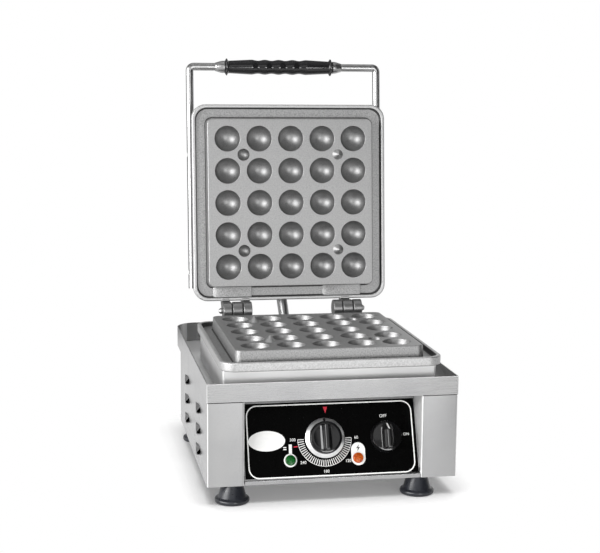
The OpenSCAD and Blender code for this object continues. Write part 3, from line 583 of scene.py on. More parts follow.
def rim_outline():
    """Half widths and heights from the face's edge, over the moat and the rim, to the underside."""
    face, rim = FACE_W / 2, RIM_W / 2
    fillet_z, lip_z = MOAT_FLOOR + FILLET_R, -RIM_DROP - RIM_LIP_R
    outline = arc(face - EDGE_R, -EDGE_R, EDGE_R, 90, 0, 4)
    outline += arc(face + BLOCK_DRAFT + FILLET_R, fillet_z, FILLET_R, 180, 270, 4)
    outline += arc(rim - RIM_T - FILLET_R, fillet_z, FILLET_R, 270, 360, 4)
    outline += arc(rim - RIM_T + RIM_LIP_R, lip_z, RIM_LIP_R, 180, 90, 4)
    outline += arc(rim - RIM_LIP_R, lip_z, RIM_LIP_R, 90, 0, 4)
    return outline + arc(rim - RIM_LIP_R, -PLATE_T + RIM_LIP_R, RIM_LIP_R, 0, -90, 3)


def corner_radius(half):
    share = (half - FACE_W / 2) / (RIM_W / 2 - FACE_W / 2)
    return FACE_R + (RIM_R - FACE_R) * share


def plate_shape():
    middle = (CUPS - 1) / 2
    steps = [(i - middle) * CUP_PITCH for i in range(CUPS)]
    cell = cup_cell()
    loops = [square_outline(CUPS * CUP_PITCH / 2, SIDE_STEPS)]
    loops += [square_loop(2 * w, 2 * w, corner_radius(w), z) for w, z in rim_outline()]
    vertices, faces = stacked(loops)
    faces.append(tuple(range(len(vertices) - 4 * SIDE_STEPS, len(vertices))))
    return together([shifted(cell, x, y) for x in steps for y in steps] + [(vertices, faces)])


print("outline of moat and rim:", len(rim_outline()), "points")

# %% [markdown]
# Two cones on each plate meet two sockets on the other, so that the plates close in line. Lugs carry
# the hinge pins, and low pads in the moat stand where the lugs join. The cones are turned on the lathe,
# and lugs and pads are outlines extruded across the plate, because a casting has the same section all
# along them.

# %% cones, pads and hinge lugs
CONE_OFF = 1.5 * CUP_PITCH
CONE_OUTLINE = [(7.6, -0.5), (6.9, 0.1), (1.6, 7.2), (0.9, 7.8), (0, 8)]  # radius, height
HINGE_X, HINGE_REACH, KNUCKLE_R, FACE_GAP = 76.0, 12.5, 12.0, 1.0
KNUCKLE_ARC = -35, 215, 28  # start, stop and steps
MIDDLE_LUG_W, OUTER_LUG_W, OUTER_LUG_X = 13.0, 11.5, 13.75
LUG_IN, LUG_OUT = 4.0, 2.0
PAD_W, PAD_H, PAD_SLOPE, PAD_SHIFT, PAD_SINK, PAD_BITE = 53.0, 3.5, 7.0, 4.0, 1.0, 0.5


def extruded(outline):
    """Points of a closed outline given twice, at both ends, become a solid."""
    return capped(stacked(outline), len(outline[0]))


def lug(x, width):
    axis_y = RIM_W / 2 + HINGE_REACH
    inner = RIM_W / 2 - LUG_IN
    outline = arc(axis_y, FACE_GAP / 2, KNUCKLE_R, *KNUCKLE_ARC)
    outline += [(RIM_W / 2, -RIM_DROP), (inner, -RIM_DROP)]
    outline += [(inner, -PLATE_T), (RIM_W / 2 + LUG_OUT, -PLATE_T)]
    return extruded([[Vector((end, y, z)) for y, z in outline] for end in (x - width / 2, x + width / 2)])


def pad(x):
    low, high = MOAT_FLOOR - PAD_SINK, MOAT_FLOOR + PAD_H
    half = PAD_W / 2
    outline = [(-half, low), (-half, high), (half - PAD_SLOPE, high), (half, MOAT_FLOOR), (half, low)]
    ends = (FACE_W / 2 - PAD_BITE, RIM_W / 2 - RIM_T + PAD_BITE)
    return extruded([[Vector((x + a, y, z)) for a, z in outline] for y in ends])


def cone_shapes():
    cone = lathe(CONE_OUTLINE, 40)
    return together([shifted(cone, -CONE_OFF, sy * CONE_OFF) for sy in (-1, 1)])


def lug_shapes():
    lugs = [lug(-HINGE_X, MIDDLE_LUG_W)]
    lugs += [lug(HINGE_X + sx * OUTER_LUG_X, OUTER_LUG_W) for sx in (-1, 1)]
    return together(lugs)


print("lugs on a plate:", len(lug_shapes()[0]), "points")

# %% [markdown]
# The sockets lie where four cells meet, so rings of points can't lead to them. Here a boolean is the
# better way: an elliptical bowl is cut out of the finished casting. The bowl ends a hair above the face,
# since two surfaces at exactly the same height make a boolean guess.

# %% cut the sockets
SOCKET_R, SOCKET_H, SOCKET_LIFT, SOCKET_TOP, SOCKET_STEPS = 8.2, 9.2, 0.02, 3.0, 12
WELD_MM = 1e-4


def mesh_of(name, shape):
    mesh = bpy.data.meshes.new(name)
    mesh.from_pydata(shape[0], [], shape[1])
    return cleaned(mesh, WELD_MM)


def cut(mesh, cutter_shape):
    source = bpy.data.objects.new("uncut", mesh)
    cutter = bpy.data.objects.new("cutter", mesh_of("cutter", cutter_shape))
    for made in (source, cutter):
        bpy.context.collection.objects.link(made)
    boolean = source.modifiers.new("cut", "BOOLEAN")
    boolean.object = cutter
    boolean.solver = "EXACT"
    result = bpy.data.meshes.new_from_object(source.evaluated_get(bpy.context.evaluated_depsgraph_get()))
    bpy.data.objects.remove(source)
    bpy.data.objects.remove(cutter)
    return result


quarter = [math.pi / 2 * k / SOCKET_STEPS for k in range(SOCKET_STEPS + 1)]
bowl = [(SOCKET_R * math.sin(a), SOCKET_LIFT - SOCKET_H * math.cos(a)) for a in quarter]
socket = lathe(bowl + [(SOCKET_R, SOCKET_TOP), (0, SOCKET_TOP)], 48)
sockets = together([shifted(socket, CONE_OFF, sy * CONE_OFF) for sy in (-1, 1)])
plate_mesh = cut(mesh_of("plate casting", plate_shape()), sockets)
print("casting:", len(plate_mesh.vertices), "vertices")

# %% [markdown]
# The casting's finish changes from place to place. A texture mask could say where, but the places follow
# from the outline: how far out from the face's edge a face lies, and how deep. So each face of the mesh
# gets its material by its own middle. Distances are measured to rounded squares, so the corners come out
# right too.

# %% which finish a place on a plate has
PLATE_FINISHES = cast_face, cast_skin, cast_rim, cast_corner_painted_shade, cast_cup
FACE, SKIN, RIM, SHADED_CORNER, CUP = range(len(PLATE_FINISHES))
FACE_MARGIN, CUP_FROM_Z, UNDERSIDE = 0.2, -0.3, 1.0
# Where the painted shade of the inner corners lies, measured from the walls outward
BLOCK_FOOT, RIM_FOOT = (0.95, 2.2), (-1.6, 0.3)  # where the dark inner corners lie, from the walls outward


def half_width(spot):
    """Half the width of the rounded square that passes through a point of the casting."""
    x, y = abs(spot.x), abs(spot.y)
    half = max(x, y)
    for _ in range(5):
        middle = half - corner_radius(half)
        if min(x, y) > middle:
            half = middle + math.hypot(x - middle, y - middle)
    return half


def finish_at(spot):
    out = half_width(spot) - FACE_W / 2
    wall = RIM_W / 2 - RIM_T - FACE_W / 2
    if out < -FACE_MARGIN and spot.z > -CUP_R - UNDERSIDE:
        return CUP if spot.z < CUP_FROM_Z else FACE
    # Faces in the moat's inner corners get the dark skin, which is painted shade
    in_painted_shade = BLOCK_FOOT[0] < out < BLOCK_FOOT[1] or RIM_FOOT[0] < out - wall < RIM_FOOT[1]
    if in_painted_shade and spot.z > -PLATE_T + UNDERSIDE:
        return SHADED_CORNER
    return RIM if out >= wall else SKIN


print("finishes on a plate:", len(PLATE_FINISHES))

# %% [markdown]
# Both plates now take the same casting. The lower one stands on the base, the upper one is turned over in
# the open lid, half the gap between the faces away from the hinge's line. Lugs, pads and cones are pieces
# of their own that go into the casting a little, which is simpler than joining them and can't be seen.

# %% put the plates together
PLATE_Y, FACE_Z, COVER_Y = 137.0, 177.9, -145.5
LUG_EDGE_R, PAD_EDGE_R = 0.8, 0.5
lower_place = casing_place @ Matrix.Translation((0, PLATE_Y, FACE_Z))
upper_centre = lid_place @ Matrix.Translation((0, COVER_Y, FACE_GAP / 2))
upper_place = upper_centre @ Matrix.Rotation(math.pi, 4, "Y")
for name, place, body in (("lower_plate", lower_place, "base"), ("upper_plate", upper_place, "lid")):
    mesh = plate_mesh.copy()
    mesh.transform(place)
    plate = weighted(wrap(name + "_casting", mesh, body, cast_face, [name], 50))
    for finish in PLATE_FINISHES[1:]:
        plate.data.materials.append(finish)
    back = place.inverted()
    for polygon in plate.data.polygons:
        polygon.material_index = finish_at(back @ polygon.center)
    pads = together([pad(sx * HINGE_X + PAD_SHIFT) for sx in (-1, 1)])
    extras = [
        rounded(piece(name + "_lugs", lug_shapes(), place, body, milled, [name], 50), LUG_EDGE_R, 3),
        rounded(piece(name + "_pads", pads, place, body, cast_skin, [name], 30), PAD_EDGE_R),
        piece(name + "_cones", cone_shapes(), place, body, cast_face, [name], 50),
    ]
    print(name, "made of", 1 + len(extras), "pieces")

# %% [markdown]
# ## Sheet steel
#
# The casing's sheets were drawn exactly by the construction model, so their copies only get softened
# edges. The grain runs along each sheet as it was cut: front to back on the sides, across on the rest.
# The front band and the sides get a painted highlight on their edges, a lighter steel for thin light lines.

# %% casing sheets
SIDES = "left_side_panel", "right_side_panel"
sheets = {name: softened(name, steel_deep, edge=steel_edge_painted_highlight) for name in SIDES}
for name in ("deck_tray", "upper_rear_wall", "rear_panel", "base_plate", "control_panel"):
    sheets[name] = softened(name, steel_across, edge=steel_edge_painted_highlight if name == "deck_tray" else None)
# The plinth frame's pale steel is painted light that lifts it in the shade under the rim
softened("plinth_frame", steel_frame_painted_light)
print("sheets:", ", ".join(sheets))

# %% [markdown]
# Some faces of a sheet are finished differently: the deck's floor and the returns beside the panel are
# blasted and painted pale, painted light where they lie in shade, and the front bends get a painted
# highlight in a lighter steel. Cutting the sheets apart would open seams. A second and a third material
# on the same mesh, chosen by where a face looks and lies, leaves the shape whole.

# %% finishes within a sheet
PAINTED_LIGHT_SLOT = 2
BAND_T, RETURN_Y = 8, 45
LOOKS_UP, LOOKS_SIDEWAYS, BEND_SHARE = 0.5, 0.7, 0.5
INWARD = {"right_side_panel": -1, "left_side_panel": 1}


# Faces that take the pale steel, painted light where they lie in shade: the deck's floor and the returns
def takes_painted_light(name, spot, normal):
    if name == "deck_tray":
        return normal.z > LOOKS_UP and spot.y > BAND_T
    return normal.x * INWARD[name] > LOOKS_SIDEWAYS and spot.y < RETURN_Y


to_drawing = casing_place.inverted()
for name in ("deck_tray", *INWARD):
    mesh = sheets[name].data
    mesh.materials.append(steel_satin_painted_light)
    for polygon in mesh.polygons:
        normal = polygon.normal
        if takes_painted_light(name, to_drawing @ polygon.center, normal):
            polygon.material_index = PAINTED_LIGHT_SLOT
        # Front bends that look half sideways get the lighter edge steel too, a painted highlight
        elif abs(normal.x) > BEND_SHARE and normal.y < -BEND_SHARE:
            polygon.material_index = PAINTED_HIGHLIGHT_SLOT
    print(name, "has", sum(p.material_index == PAINTED_LIGHT_SLOT for p in mesh.polygons), "faces with painted light")

# %% [markdown]
# ## Lid cover
#
# The cover is a deep-drawn pan: a flat back, a generous drawing radius and straight walls. It is a stack
# of rounded squares like the plates, down the outside and up the inside again, so that the sheet has its
# thickness.

# %% lid cover
COVER_W, COVER_R, COVER_LOW, COVER_TOP, DRAW_R, SHEET = 249.0, 14.0, 22.0, 62.0, 5.0, 1.2
BACK_MARGIN, BACK_R, CORNER_SHARE = 70, 4, 0.9
back_edge = arc(COVER_W / 2 - DRAW_R, COVER_TOP - DRAW_R, DRAW_R, 90, 0, 6)
inside = (COVER_W - 2 * SHEET, COVER_W - 2 * SHEET, COVER_R - SHEET)
loops = [square_loop(COVER_W - BACK_MARGIN, COVER_W - BACK_MARGIN, BACK_R, COVER_TOP)]
loops += [square_loop(2 * w, 2 * w, COVER_R - (COVER_W / 2 - w) * CORNER_SHARE, z) for w, z in back_edge]
loops += [square_loop(COVER_W, COVER_W, COVER_R, COVER_LOW), square_loop(*inside, COVER_LOW)]
loops += [square_loop(*inside, COVER_TOP - SHEET)]
cover_place = lid_place @ Matrix.Translation((0, COVER_Y, 0))
cover_shape = capped(stacked(loops), 4 * SIDE_STEPS)
cover = piece("lid_cover_pan", cover_shape, cover_place, "lid", steel_across, ["lid_cover"], 40)
weighted(cover)
print("cover:", len(cover.data.vertices), "vertices")

# %% [markdown]
# ## Handle
#
# The bail is one bright rod bent at two tight corners, taken from the construction with its edges
# softened. The grip that turns on it was moulded. It could be sculpted, but it is round all along, so the
# lathe makes it: five ridges are a cosine wave on its outline, and a thin flange ends each side. Metal
# ferrules hold it in place.

# %% bail, grip and ferrules
softened("handle_bail", polished_steel, 0.2)

BAR_REACH, ROD_Z, GRIP_X = 332.0, 50.0, -7.5
GRIP_HALF, NECK_HALF, BELLY_HALF, GRIP_R, NECK_R = 75.0, 70.0, 38.4, 10.3, 8.6
RIDGE_PITCH, RIDGE_DEPTH, FLANGE_R, BORE_R, STEPS_PER_MM = 19.2, 1.3, 11.6, 5.4, 2
FERRULE_GAP = 0.4
bar_middle = lid_place @ Matrix.Translation((GRIP_X, -BAR_REACH, ROD_Z))
bar_place = bar_middle @ Matrix.Rotation(math.pi / 2, 4, "Y")


def grip_radius(s):
    if abs(s) <= BELLY_HALF:
        return GRIP_R - RIDGE_DEPTH / 2 * (1 - math.cos(2 * math.pi * s / RIDGE_PITCH))
    return GRIP_R - (GRIP_R - NECK_R) * (abs(s) - BELLY_HALF) / (NECK_HALF - BELLY_HALF)


flange = [(9.0, 70.4), (10.2, 71.4), (FLANGE_R, 72.1), (FLANGE_R, 73.0)]
flange += [(10.2, 73.7), (9.0, 74.4), (8.4, GRIP_HALF)]
places_along = [k / STEPS_PER_MM for k in range(int(NECK_HALF * STEPS_PER_MM))]
half = [(grip_radius(s), s) for s in places_along] + flange + [(BORE_R, GRIP_HALF)]
profile = [(r, -s) for r, s in reversed(half[1:])] + half
grip = piece("grip_moulding", lathe(profile, 56), bar_place, "grip", grip_plastic, ["handle_grip"], 50)

ferrule = [(5.28, 0), (7.8, 0), (8.4, 0.6), (8.3, 3), (7.9, 5.5)]
ferrule += [(7.1, 8.2), (6.3, 10.6), (5.8, 12.6), (5.28, 13)]
for side, name in ((0, "right"), (math.pi, "left")):
    place = bar_place @ Matrix.Rotation(side, 4, "X") @ Matrix.Translation((0, 0, GRIP_HALF + FERRULE_GAP))
    made = piece("grip_ferrule_" + name, lathe(ferrule, 48), place, "lid", polished_steel, ["grip_ferrules"])
print("grip:", 2 * GRIP_HALF, "mm long")

# %% [markdown]
# ## Conduit
#
# The wires to the lid run in a smooth steel tube. It has to bend when the lid moves. An armature or a
# curve could do that. Here the tube's mesh is only cut into many rings, inside and out, from the casing's
# deck into the lid, and it rides neither body.

# %% conduit
CONDUIT_FOOT, CONDUIT_HEAD = Vector((-1.0, 299.25, 120.1)), Vector((-9.1, 322.25, 193.3))
CONDUIT_R, CONDUIT_BORE_R, CONDUIT_RINGS = 7.1, 6.1, 40
conduit_run = CONDUIT_HEAD - CONDUIT_FOOT
conduit_len = conduit_run.length
conduit_turn = conduit_run.to_track_quat("Z", "Y").to_matrix().to_4x4()
conduit_place = casing_place @ Matrix.Translation(CONDUIT_FOOT) @ conduit_turn
outside = [(CONDUIT_R, conduit_len * i / CONDUIT_RINGS) for i in range(CONDUIT_RINGS + 1)]
bore = [(CONDUIT_BORE_R, height) for _, height in reversed(outside)]
vertices, faces = lathe(outside + bore + outside[:1], 36)
mesh = bpy.data.meshes.new("conduit_tube")
mesh.from_pydata([conduit_place @ Vector(v) for v in vertices], [], faces)
mesh.materials.append(drawn_tube)
mesh.shade_smooth()
mesh.set_sharp_from_angle(angle=math.radians(50))
conduit = bpy.data.objects.new("conduit_tube", mesh)
bpy.context.collection.objects.link(conduit)
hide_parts("conduit_hose")
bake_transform(conduit)
print("conduit:", round(conduit_len, 1), "mm")

# %% [markdown]
# ## Feet
#
# A moulded rubber foot is a cone standing on a flange with a full round edge. A primitive cone has no
# such flange, so the lathe turns the outline. The feet don't stand quite alike in the photograph, and
# their places follow it.

# %% feet
FOOT_PLACES = {
    "front_left": (-119, 13), "front_right": (105, 13),
    "rear_left": (-129, 286), "rear_right": (115, 286),
}
FLANGE_AT, FLANGE_EDGE_R = 18, 2.5
profile = [(7, 0.3), (FLANGE_AT, 0)] + arc(FLANGE_AT, 2.5, FLANGE_EDGE_R, -90, 0, 5)
profile += arc(FLANGE_AT, 3.5, FLANGE_EDGE_R, 0, 80, 5)
profile += [(17.6, 6.2), (16.6, 7.2), (12.9, 21), (12.3, 21.9), (6, 22)]
for name, (x, y) in FOOT_PLACES.items():
    place = casing_place @ Matrix.Translation((x, y, 0))
    made = piece("foot_" + name, lathe(profile), place, "base", rubber, [name + "_foot"], 50)
print("feet:", len(FOOT_PLACES))

# %% [markdown]
# ## Control panel
#
# The fascia is a printed film. The print could be a picture laid on the film, but a picture blurs when
# the camera comes close. Each print is a thin mesh a few hundredths of a millimetre above the film
# instead, and letters come from Blender's own font, turned into a mesh.

# %% ways of printing
FASCIA_T, PRINT_LIFT, CAPITAL_SHARE = 0.6, 0.05, 0.69


def on_panel(name, shape, mat, lift=PRINT_LIFT):
    raised = [(v[0], v[1], FASCIA_T + lift) for v in shape[0]]
    piece(name, (raised, shape[1]), panel_place, "base", mat)


def filled(points):
    return [Vector((p[0], p[1], 0)) for p in points], [tuple(range(len(points)))]


def oval(cx, cy, rx, ry, steps=72):
    angles = [2 * math.pi * k / steps for k in range(steps)]
    return [Vector((cx + rx * math.cos(a), cy + ry * math.sin(a), 0)) for a in angles]


def band(cx, cy, width, height, radius):
    return [point + Vector((cx, cy, 0)) for point in square_loop(width, height, radius, 0)]


def words(text, cx, cy, height):
    curve = bpy.data.curves.new("words", "FONT")
    curve.body = text
    curve.align_x, curve.align_y = "CENTER", "CENTER"
    curve.size = height / CAPITAL_SHARE
    curve.resolution_u = 3
    maker = bpy.data.objects.new("words", curve)
    bpy.context.collection.objects.link(maker)
    mesh = bpy.data.meshes.new_from_object(maker.evaluated_get(bpy.context.evaluated_depsgraph_get()))
    bpy.data.objects.remove(maker)
    return [v.co + Vector((cx, cy, 0)) for v in mesh.vertices], [tuple(p.vertices) for p in mesh.polygons]


print("prints lie", PRINT_LIFT, "mm above the film")

# %% [markdown]
# The film covers the sloped panel. A white border with rounded corners runs round it: two loops of
# points, one inside the other, filled between. At the left is an oval plate, a filled ellipse that is
# left blank.

# %% film, border and blank plate
softened("panel_fascia", fascia_film, 0.15)
BORDER_AT, BORDER_W, BORDER_H, BORDER_R, BORDER_T = (0.25, 44.6), 201.4, 86.4, 13.0, 1.35
OVAL_AT, OVAL_RX, OVAL_RY = (-77.2, 45.3), 22, 12
outer = band(*BORDER_AT, BORDER_W, BORDER_H, BORDER_R)
inner = band(*BORDER_AT, BORDER_W - 2 * BORDER_T, BORDER_H - 2 * BORDER_T, BORDER_R - BORDER_T)
on_panel("print_border", stacked([outer, inner]), white_ink)
on_panel("print_blank_oval", filled(oval(*OVAL_AT, OVAL_RX, OVAL_RY)), white_ink)
print("border:", BORDER_W, "by", BORDER_H, "mm")

# %% [markdown]
# Below the thermostat knob a fan of ticks fills half a circle, closed by a thin arc and marked with round
# numbers. Each tick is one small rectangle turned about the dial's middle. A modifier could repeat one
# tick, but a loop lets the ticks, the arc and the numbers share the same angles. Two red marks point at
# the dial.

# %% dial
DIAL_AT, TICK_IN, TICK_OUT, TICK_HALF = Vector((-7.8, 45.4, 0)), 25.0, 32.4, 0.40
RIM_IN, RIM_OUT, RIM_STEPS = 32.2, 32.7, 72
TICKS, NUMBERS, NUMBER_R, NUMBER_H = 35, ("300", "240", "180", "120", "60"), 38.4, 3.4
TOP_MARK = [(-7.4, 83.4), (-2.2, 83.4), (-4.9, 75.6)]
LOW_MARK = [(-45.4, 36.5), (-40.6, 36.9), (-40.6, 38.1), (-45.4, 37.7)]


def round_dial(share):
    """The way out from the dial's middle, from the left at 0, through the bottom, to the right at 1."""
    angle = math.pi * (1 + share)
    return Vector((math.cos(angle), math.sin(angle), 0))


dial = []
for k in range(TICKS):
    out = round_dial(k / (TICKS - 1))
    side = Vector((-out.y, out.x, 0)) * TICK_HALF
    start, stop = DIAL_AT + out * TICK_IN, DIAL_AT + out * TICK_OUT
    dial.append(filled([start - side, start + side, stop + side, stop - side]))
for k in range(RIM_STEPS):
    first, second = round_dial(k / RIM_STEPS), round_dial((k + 1) / RIM_STEPS)
    corners = (first * RIM_IN, first * RIM_OUT, second * RIM_OUT, second * RIM_IN)
    dial.append(filled([DIAL_AT + corner for corner in corners]))
for k, number in enumerate(NUMBERS):
    at = DIAL_AT + round_dial(k / (len(NUMBERS) - 1)) * NUMBER_R
    dial.append(words(number, at.x, at.y, NUMBER_H))
on_panel("print_dial", together(dial), white_ink)
on_panel("print_dial_mark", filled(TOP_MARK), red_ink)
on_panel("print_low_mark", filled(LOW_MARK), red_ink)
print("dial:", TICKS, "ticks and", len(NUMBERS), "numbers")

# %% [markdown]
# Each pilot lamp sits on a white sign: a thermometer for heat, and a rounded plate with a bolt for power.
# They are drawn from filled outlines. The bolt lies over its plate, so it is lifted twice as far. The
# switch has its two words.

# %% lamp signs and the switch's words
GREEN_AT, ORANGE_AT = (-50.2, 21.6), (31.3, 21.2)
HEAT_R, STEM = 7.9, [(-51.6, 27), (-48.0, 27), (-47.6, 40.3), (-51.2, 40.3)]
BAR_LEFT, BAR_RIGHT, BAR_T, BAR_HEIGHTS = -58, -54.2, 1.1, (34, 36.4)
POWER_AT, POWER_W, POWER_H, POWER_R = (31.9, 26.0), 17.0, 27.0, 8.4
BOLT = [(33.4, 37.2), (29.9, 32.6), (31.9, 32.8), (30.9, 28.8), (34.4, 33.9), (32.3, 33.7)]
SWITCH_WORDS = {"OFF": (65.2, 69.8, 3.6), "ON": (92.2, 46.9, 3.2)}  # middle and height
heat_sign = [filled(oval(*GREEN_AT, HEAT_R, HEAT_R)), filled(STEM)]
for v in BAR_HEIGHTS:
    heat_sign.append(filled([(BAR_LEFT, v), (BAR_RIGHT, v), (BAR_RIGHT, v + BAR_T), (BAR_LEFT, v + BAR_T)]))
on_panel("print_heat_sign", together(heat_sign), white_ink)
on_panel("print_power_sign", filled(band(*POWER_AT, POWER_W, POWER_H, POWER_R)), white_ink)
on_panel("print_bolt", filled(BOLT), black_ink, 2 * PRINT_LIFT)
on_panel("print_switch", together([words(text, *at) for text, at in SWITCH_WORDS.items()]), white_ink)
print("signs: heat, power and the switch's words")

# %% [markdown]
# ## Knobs and lamps
#
# A knob is a moulded disc with a grip bar. The bar's flanks are hollowed for the fingers, so it is lofted:
# at each step along the bar a cross-section is drawn from the disc, up one flank, over the top and down
# the other. A bevelled box would be quicker, but its flat flanks don't catch the light in two thin lines
# as these do.

# %% a hollowed grip bar
KNOB_GAP, LEAST_RISE = 0.5, 0.2
KNOB_LIFT = FASCIA_T + KNOB_GAP
BAR_BASE, BAR_TOP, HOLLOW, END_R = 8.0, 2.4, 2.6, 2.0
BAR_STEPS, FLANK_STEPS, BAR_SINK, SHOULDER = 60, 9, 0.6, 0.5
CROWN_IN, CROWN_DROP, CROWN_SHARE = 0.4, 0.1, 0.4


def bar_height(y, low, high, slope_at, end):
    if y > slope_at:
        return high - (high - low) * (y - slope_at) / (end - slope_at)
    near = min(y + end, END_R)
    return high - END_R + math.sqrt(END_R ** 2 - (END_R - near) ** 2)


def grip_bar(low, high, slope_at, end, reach):
    loops = []
    for i in range(BAR_STEPS + 1):
        y = -end + 2 * end * i / BAR_STEPS
        top_z = max(bar_height(y, low, high, slope_at, end), low + LEAST_RISE)
        base = min(BAR_BASE, math.sqrt(max(reach ** 2 - y ** 2, 1)))
        top = min(BAR_TOP, base)
        foot_z, rise = low - BAR_SINK, top_z - SHOULDER - low + BAR_SINK
        shares = [u / FLANK_STEPS for u in range(FLANK_STEPS + 1)]
        flank = [(top + (base - top) * (1 - share) ** HOLLOW, foot_z + rise * share) for share in shares]
        half = flank + [(top - CROWN_IN, top_z - CROWN_DROP), (top * CROWN_SHARE, top_z)]
        loops.append([Vector((-x, y, z)) for x, z in half] + [Vector((x, y, z)) for x, z in reversed(half)])
    return capped(stacked(loops), len(loops[0]))


print("sections along a grip bar:", BAR_STEPS + 1)

# %% [markdown]
# The thermostat knob stands on a black skirt with a bright foil ring, whose dark mark shows the setting.
# Each is a turned outline, given as radius and height. They are separate pieces because the foil is a
# different material, and they all ride the knob's body, so they turn with it.

# %% thermostat knob
THERMOSTAT_AT = (-7.5, 46.2)
THERMO_DISC = [(3.1, 0), (19.4, 0), (19.4, 9), (18.9, 10.3), (17.6, 11), (15, 10.7), (0, 10.5)]
SKIRT_EDGE = [(19.5, 0), (24.4, 0), (24.4, 1.0), (24.1, 1.5), (23.8, 1.6)]
SKIRT_RING = [(23.8, 1.6), (23.6, 1.8), (19.8, 4.2), (19.5, 4.3), (19.5, 1.6)]
RING_MARK = [(-1.3, 23.4, 2.1), (1.3, 23.4, 2.1), (1.3, 19.8, 4.4), (-1.3, 19.8, 4.4)]
thermo_place = panel_place @ Matrix.Translation((*THERMOSTAT_AT, KNOB_LIFT))
knob = together([lathe(THERMO_DISC, 72), grip_bar(low=10.4, high=20.0, slope_at=14.0, end=16.0, reach=16.8)])
made = piece("thermostat_knob_moulding", knob, thermo_place, "thermostat_knob", knob_plastic,
             ["thermostat_knob"], 35)
edge = lathe(SKIRT_EDGE, 72)
made = piece("thermostat_skirt_edge", edge, thermo_place, "thermostat_knob", knob_plastic,
             ["thermostat_skirt"])
ring = lathe(SKIRT_RING, 72)
made = piece("thermostat_skirt_ring", ring, thermo_place, "thermostat_knob", foil, ["thermostat_skirt"])
mark = RING_MARK, [(0, 1, 2, 3)]
piece("thermostat_pointer", mark, thermo_place, "thermostat_knob", black_ink)
print("thermostat knob:", 2 * SKIRT_EDGE[1][0], "mm across its skirt")

# %% [markdown]
# The switch knob is smaller and plainer: a stepped disc and a higher bar with a long slope, on which a
# white line is printed. The line's corners are worked out from the slope, so that it lies on the bar at
# every point.

# %% switch knob
SWITCH_AT = (66.8, 44.9)
SWITCH_DISC = [(3.1, 0), (19.2, 0), (19.2, 1.6), (18.8, 2.2), (18.0, 7.6), (17.2, 8.7), (16, 9), (0, 8.8)]
SWITCH_BAR = {"low": 8.8, "high": 22.0, "slope_at": 6.5, "end": 15.75}
LINE_HALF, LINE_FROM, LINE_TO, LINE_LIFT = 0.9, 7.0, 15.0, 0.15
switch_place = panel_place @ Matrix.Translation((*SWITCH_AT, KNOB_LIFT))
knob = together([lathe(SWITCH_DISC, 72), grip_bar(**SWITCH_BAR, reach=16.4)])
made = piece("switch_knob_moulding", knob, switch_place, "switch_knob", knob_plastic, ["switch_knob"], 35)


def on_slope(x, y):
    return x, y, bar_height(y, **SWITCH_BAR) + LINE_LIFT


line = [on_slope(-LINE_HALF, LINE_FROM), on_slope(LINE_HALF, LINE_FROM)]
line += [on_slope(LINE_HALF, LINE_TO), on_slope(-LINE_HALF, LINE_TO)]
pointer = line, [(0, 1, 2, 3)]
piece("switch_pointer", pointer, switch_place, "switch_knob", white_ink)
print("switch knob:", 2 * SWITCH_DISC[1][0], "mm across")

# %% [markdown]
# A pilot lamp's lens is a low dome with a rounded shoulder, turned on the lathe like the knobs. Both
# lamps share one shape and differ only in their acrylic.

# %% pilot lamps
LENS_R, LENS_WALL, LENS_SHOULDER = 6.2, 1.2, 1.6
shoulder = arc(LENS_R - LENS_SHOULDER, LENS_SHOULDER, LENS_SHOULDER, 0, 80, 6)
lens_shape = lathe([(LENS_R, 0), (LENS_R, LENS_WALL)] + shoulder + [(2.4, 3.5), (0, 3.7)], 48)
for name, at, mat, slot in (
    ("green_lamp", GREEN_AT, green_lens, "green_lens"),
    ("orange_lamp", ORANGE_AT, orange_lens, "orange_lens"),
):
    place = panel_place @ Matrix.Translation((*at, FASCIA_T))
    piece(name + "_lens", lens_shape, place, "base", mat, [name])
print("pilot lamps:", 2 * LENS_R, "mm across")

# %% [markdown]
# ## Everything else
#
# The remaining nodes are right as they were drawn: screws, nuts, hinge pins, glands and what lies inside.
# They only get materials, by the slot that the record gives them. Each is set on the object and not on
# its mesh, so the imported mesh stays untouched.

# %% materials for the nodes that stay
by_slot = {
    "satin_steel": steel_across,
    "bright_steel": polished_steel,
    "coated_casting": cast_face,
    "element_sheath": sheath,
    "mineral_wool": wool,
    "copper_bulb": copper,
    "black_rubber": rubber,
    "black_fascia": fascia_film,
    "grey_plastic": grey_plastic,
    "black_plastic": knob_plastic,
    "green_lens": green_lens,
    "orange_lens": orange_lens,
}
for cad in frame["nodes"].values():
    for slot in cad.material_slots:
        chosen = by_slot[slot.material.name.split(".")[0]]
        slot.link = "OBJECT"
        slot.material = chosen
print("slots with a material:", len(by_slot))

# %% [markdown]
# ## Studio
#
# The photograph has one large soft light from the left, a little above the lid, which gives every cup
# its highlight. A small one in front opens the panel's shadows, and one overhead lights the deck. A sun
# lamp would throw hard shadows, so all are area lamps. The last one is for the paper floor alone.

# %% lamps of the studio
def soft_box(name, at, aim, width, height, power):
    data = bpy.data.lights.new(name, "AREA")
    data.shape = "RECTANGLE"
    data.size, data.size_y, data.energy = width, height, power
    box = bpy.data.objects.new(name, data)
    box.location = at
    box.rotation_euler = (Vector(aim) - Vector(at)).to_track_quat("-Z", "Y").to_euler()
    bpy.context.collection.objects.link(box)
    return box


key = soft_box("key", at=(-2.1, -1.2, 0.76), aim=(0, 0, 0.3), width=2.2, height=1.4, power=72)
soft_box("front", at=(0.52, -2.6, 0.27), aim=(0, 0, 0.2), width=0.9, height=0.6, power=18)
soft_box("top", at=(0, 0, 2.6), aim=(0, 0, 0.2), width=1.4, height=1.4, power=28)
sheet_light = soft_box("over the paper", at=(0, 0, 2.3), aim=(0, 0, 0), width=2.4, height=2.4, power=40)
print("lamps:", ", ".join(light.name for light in bpy.data.lights))

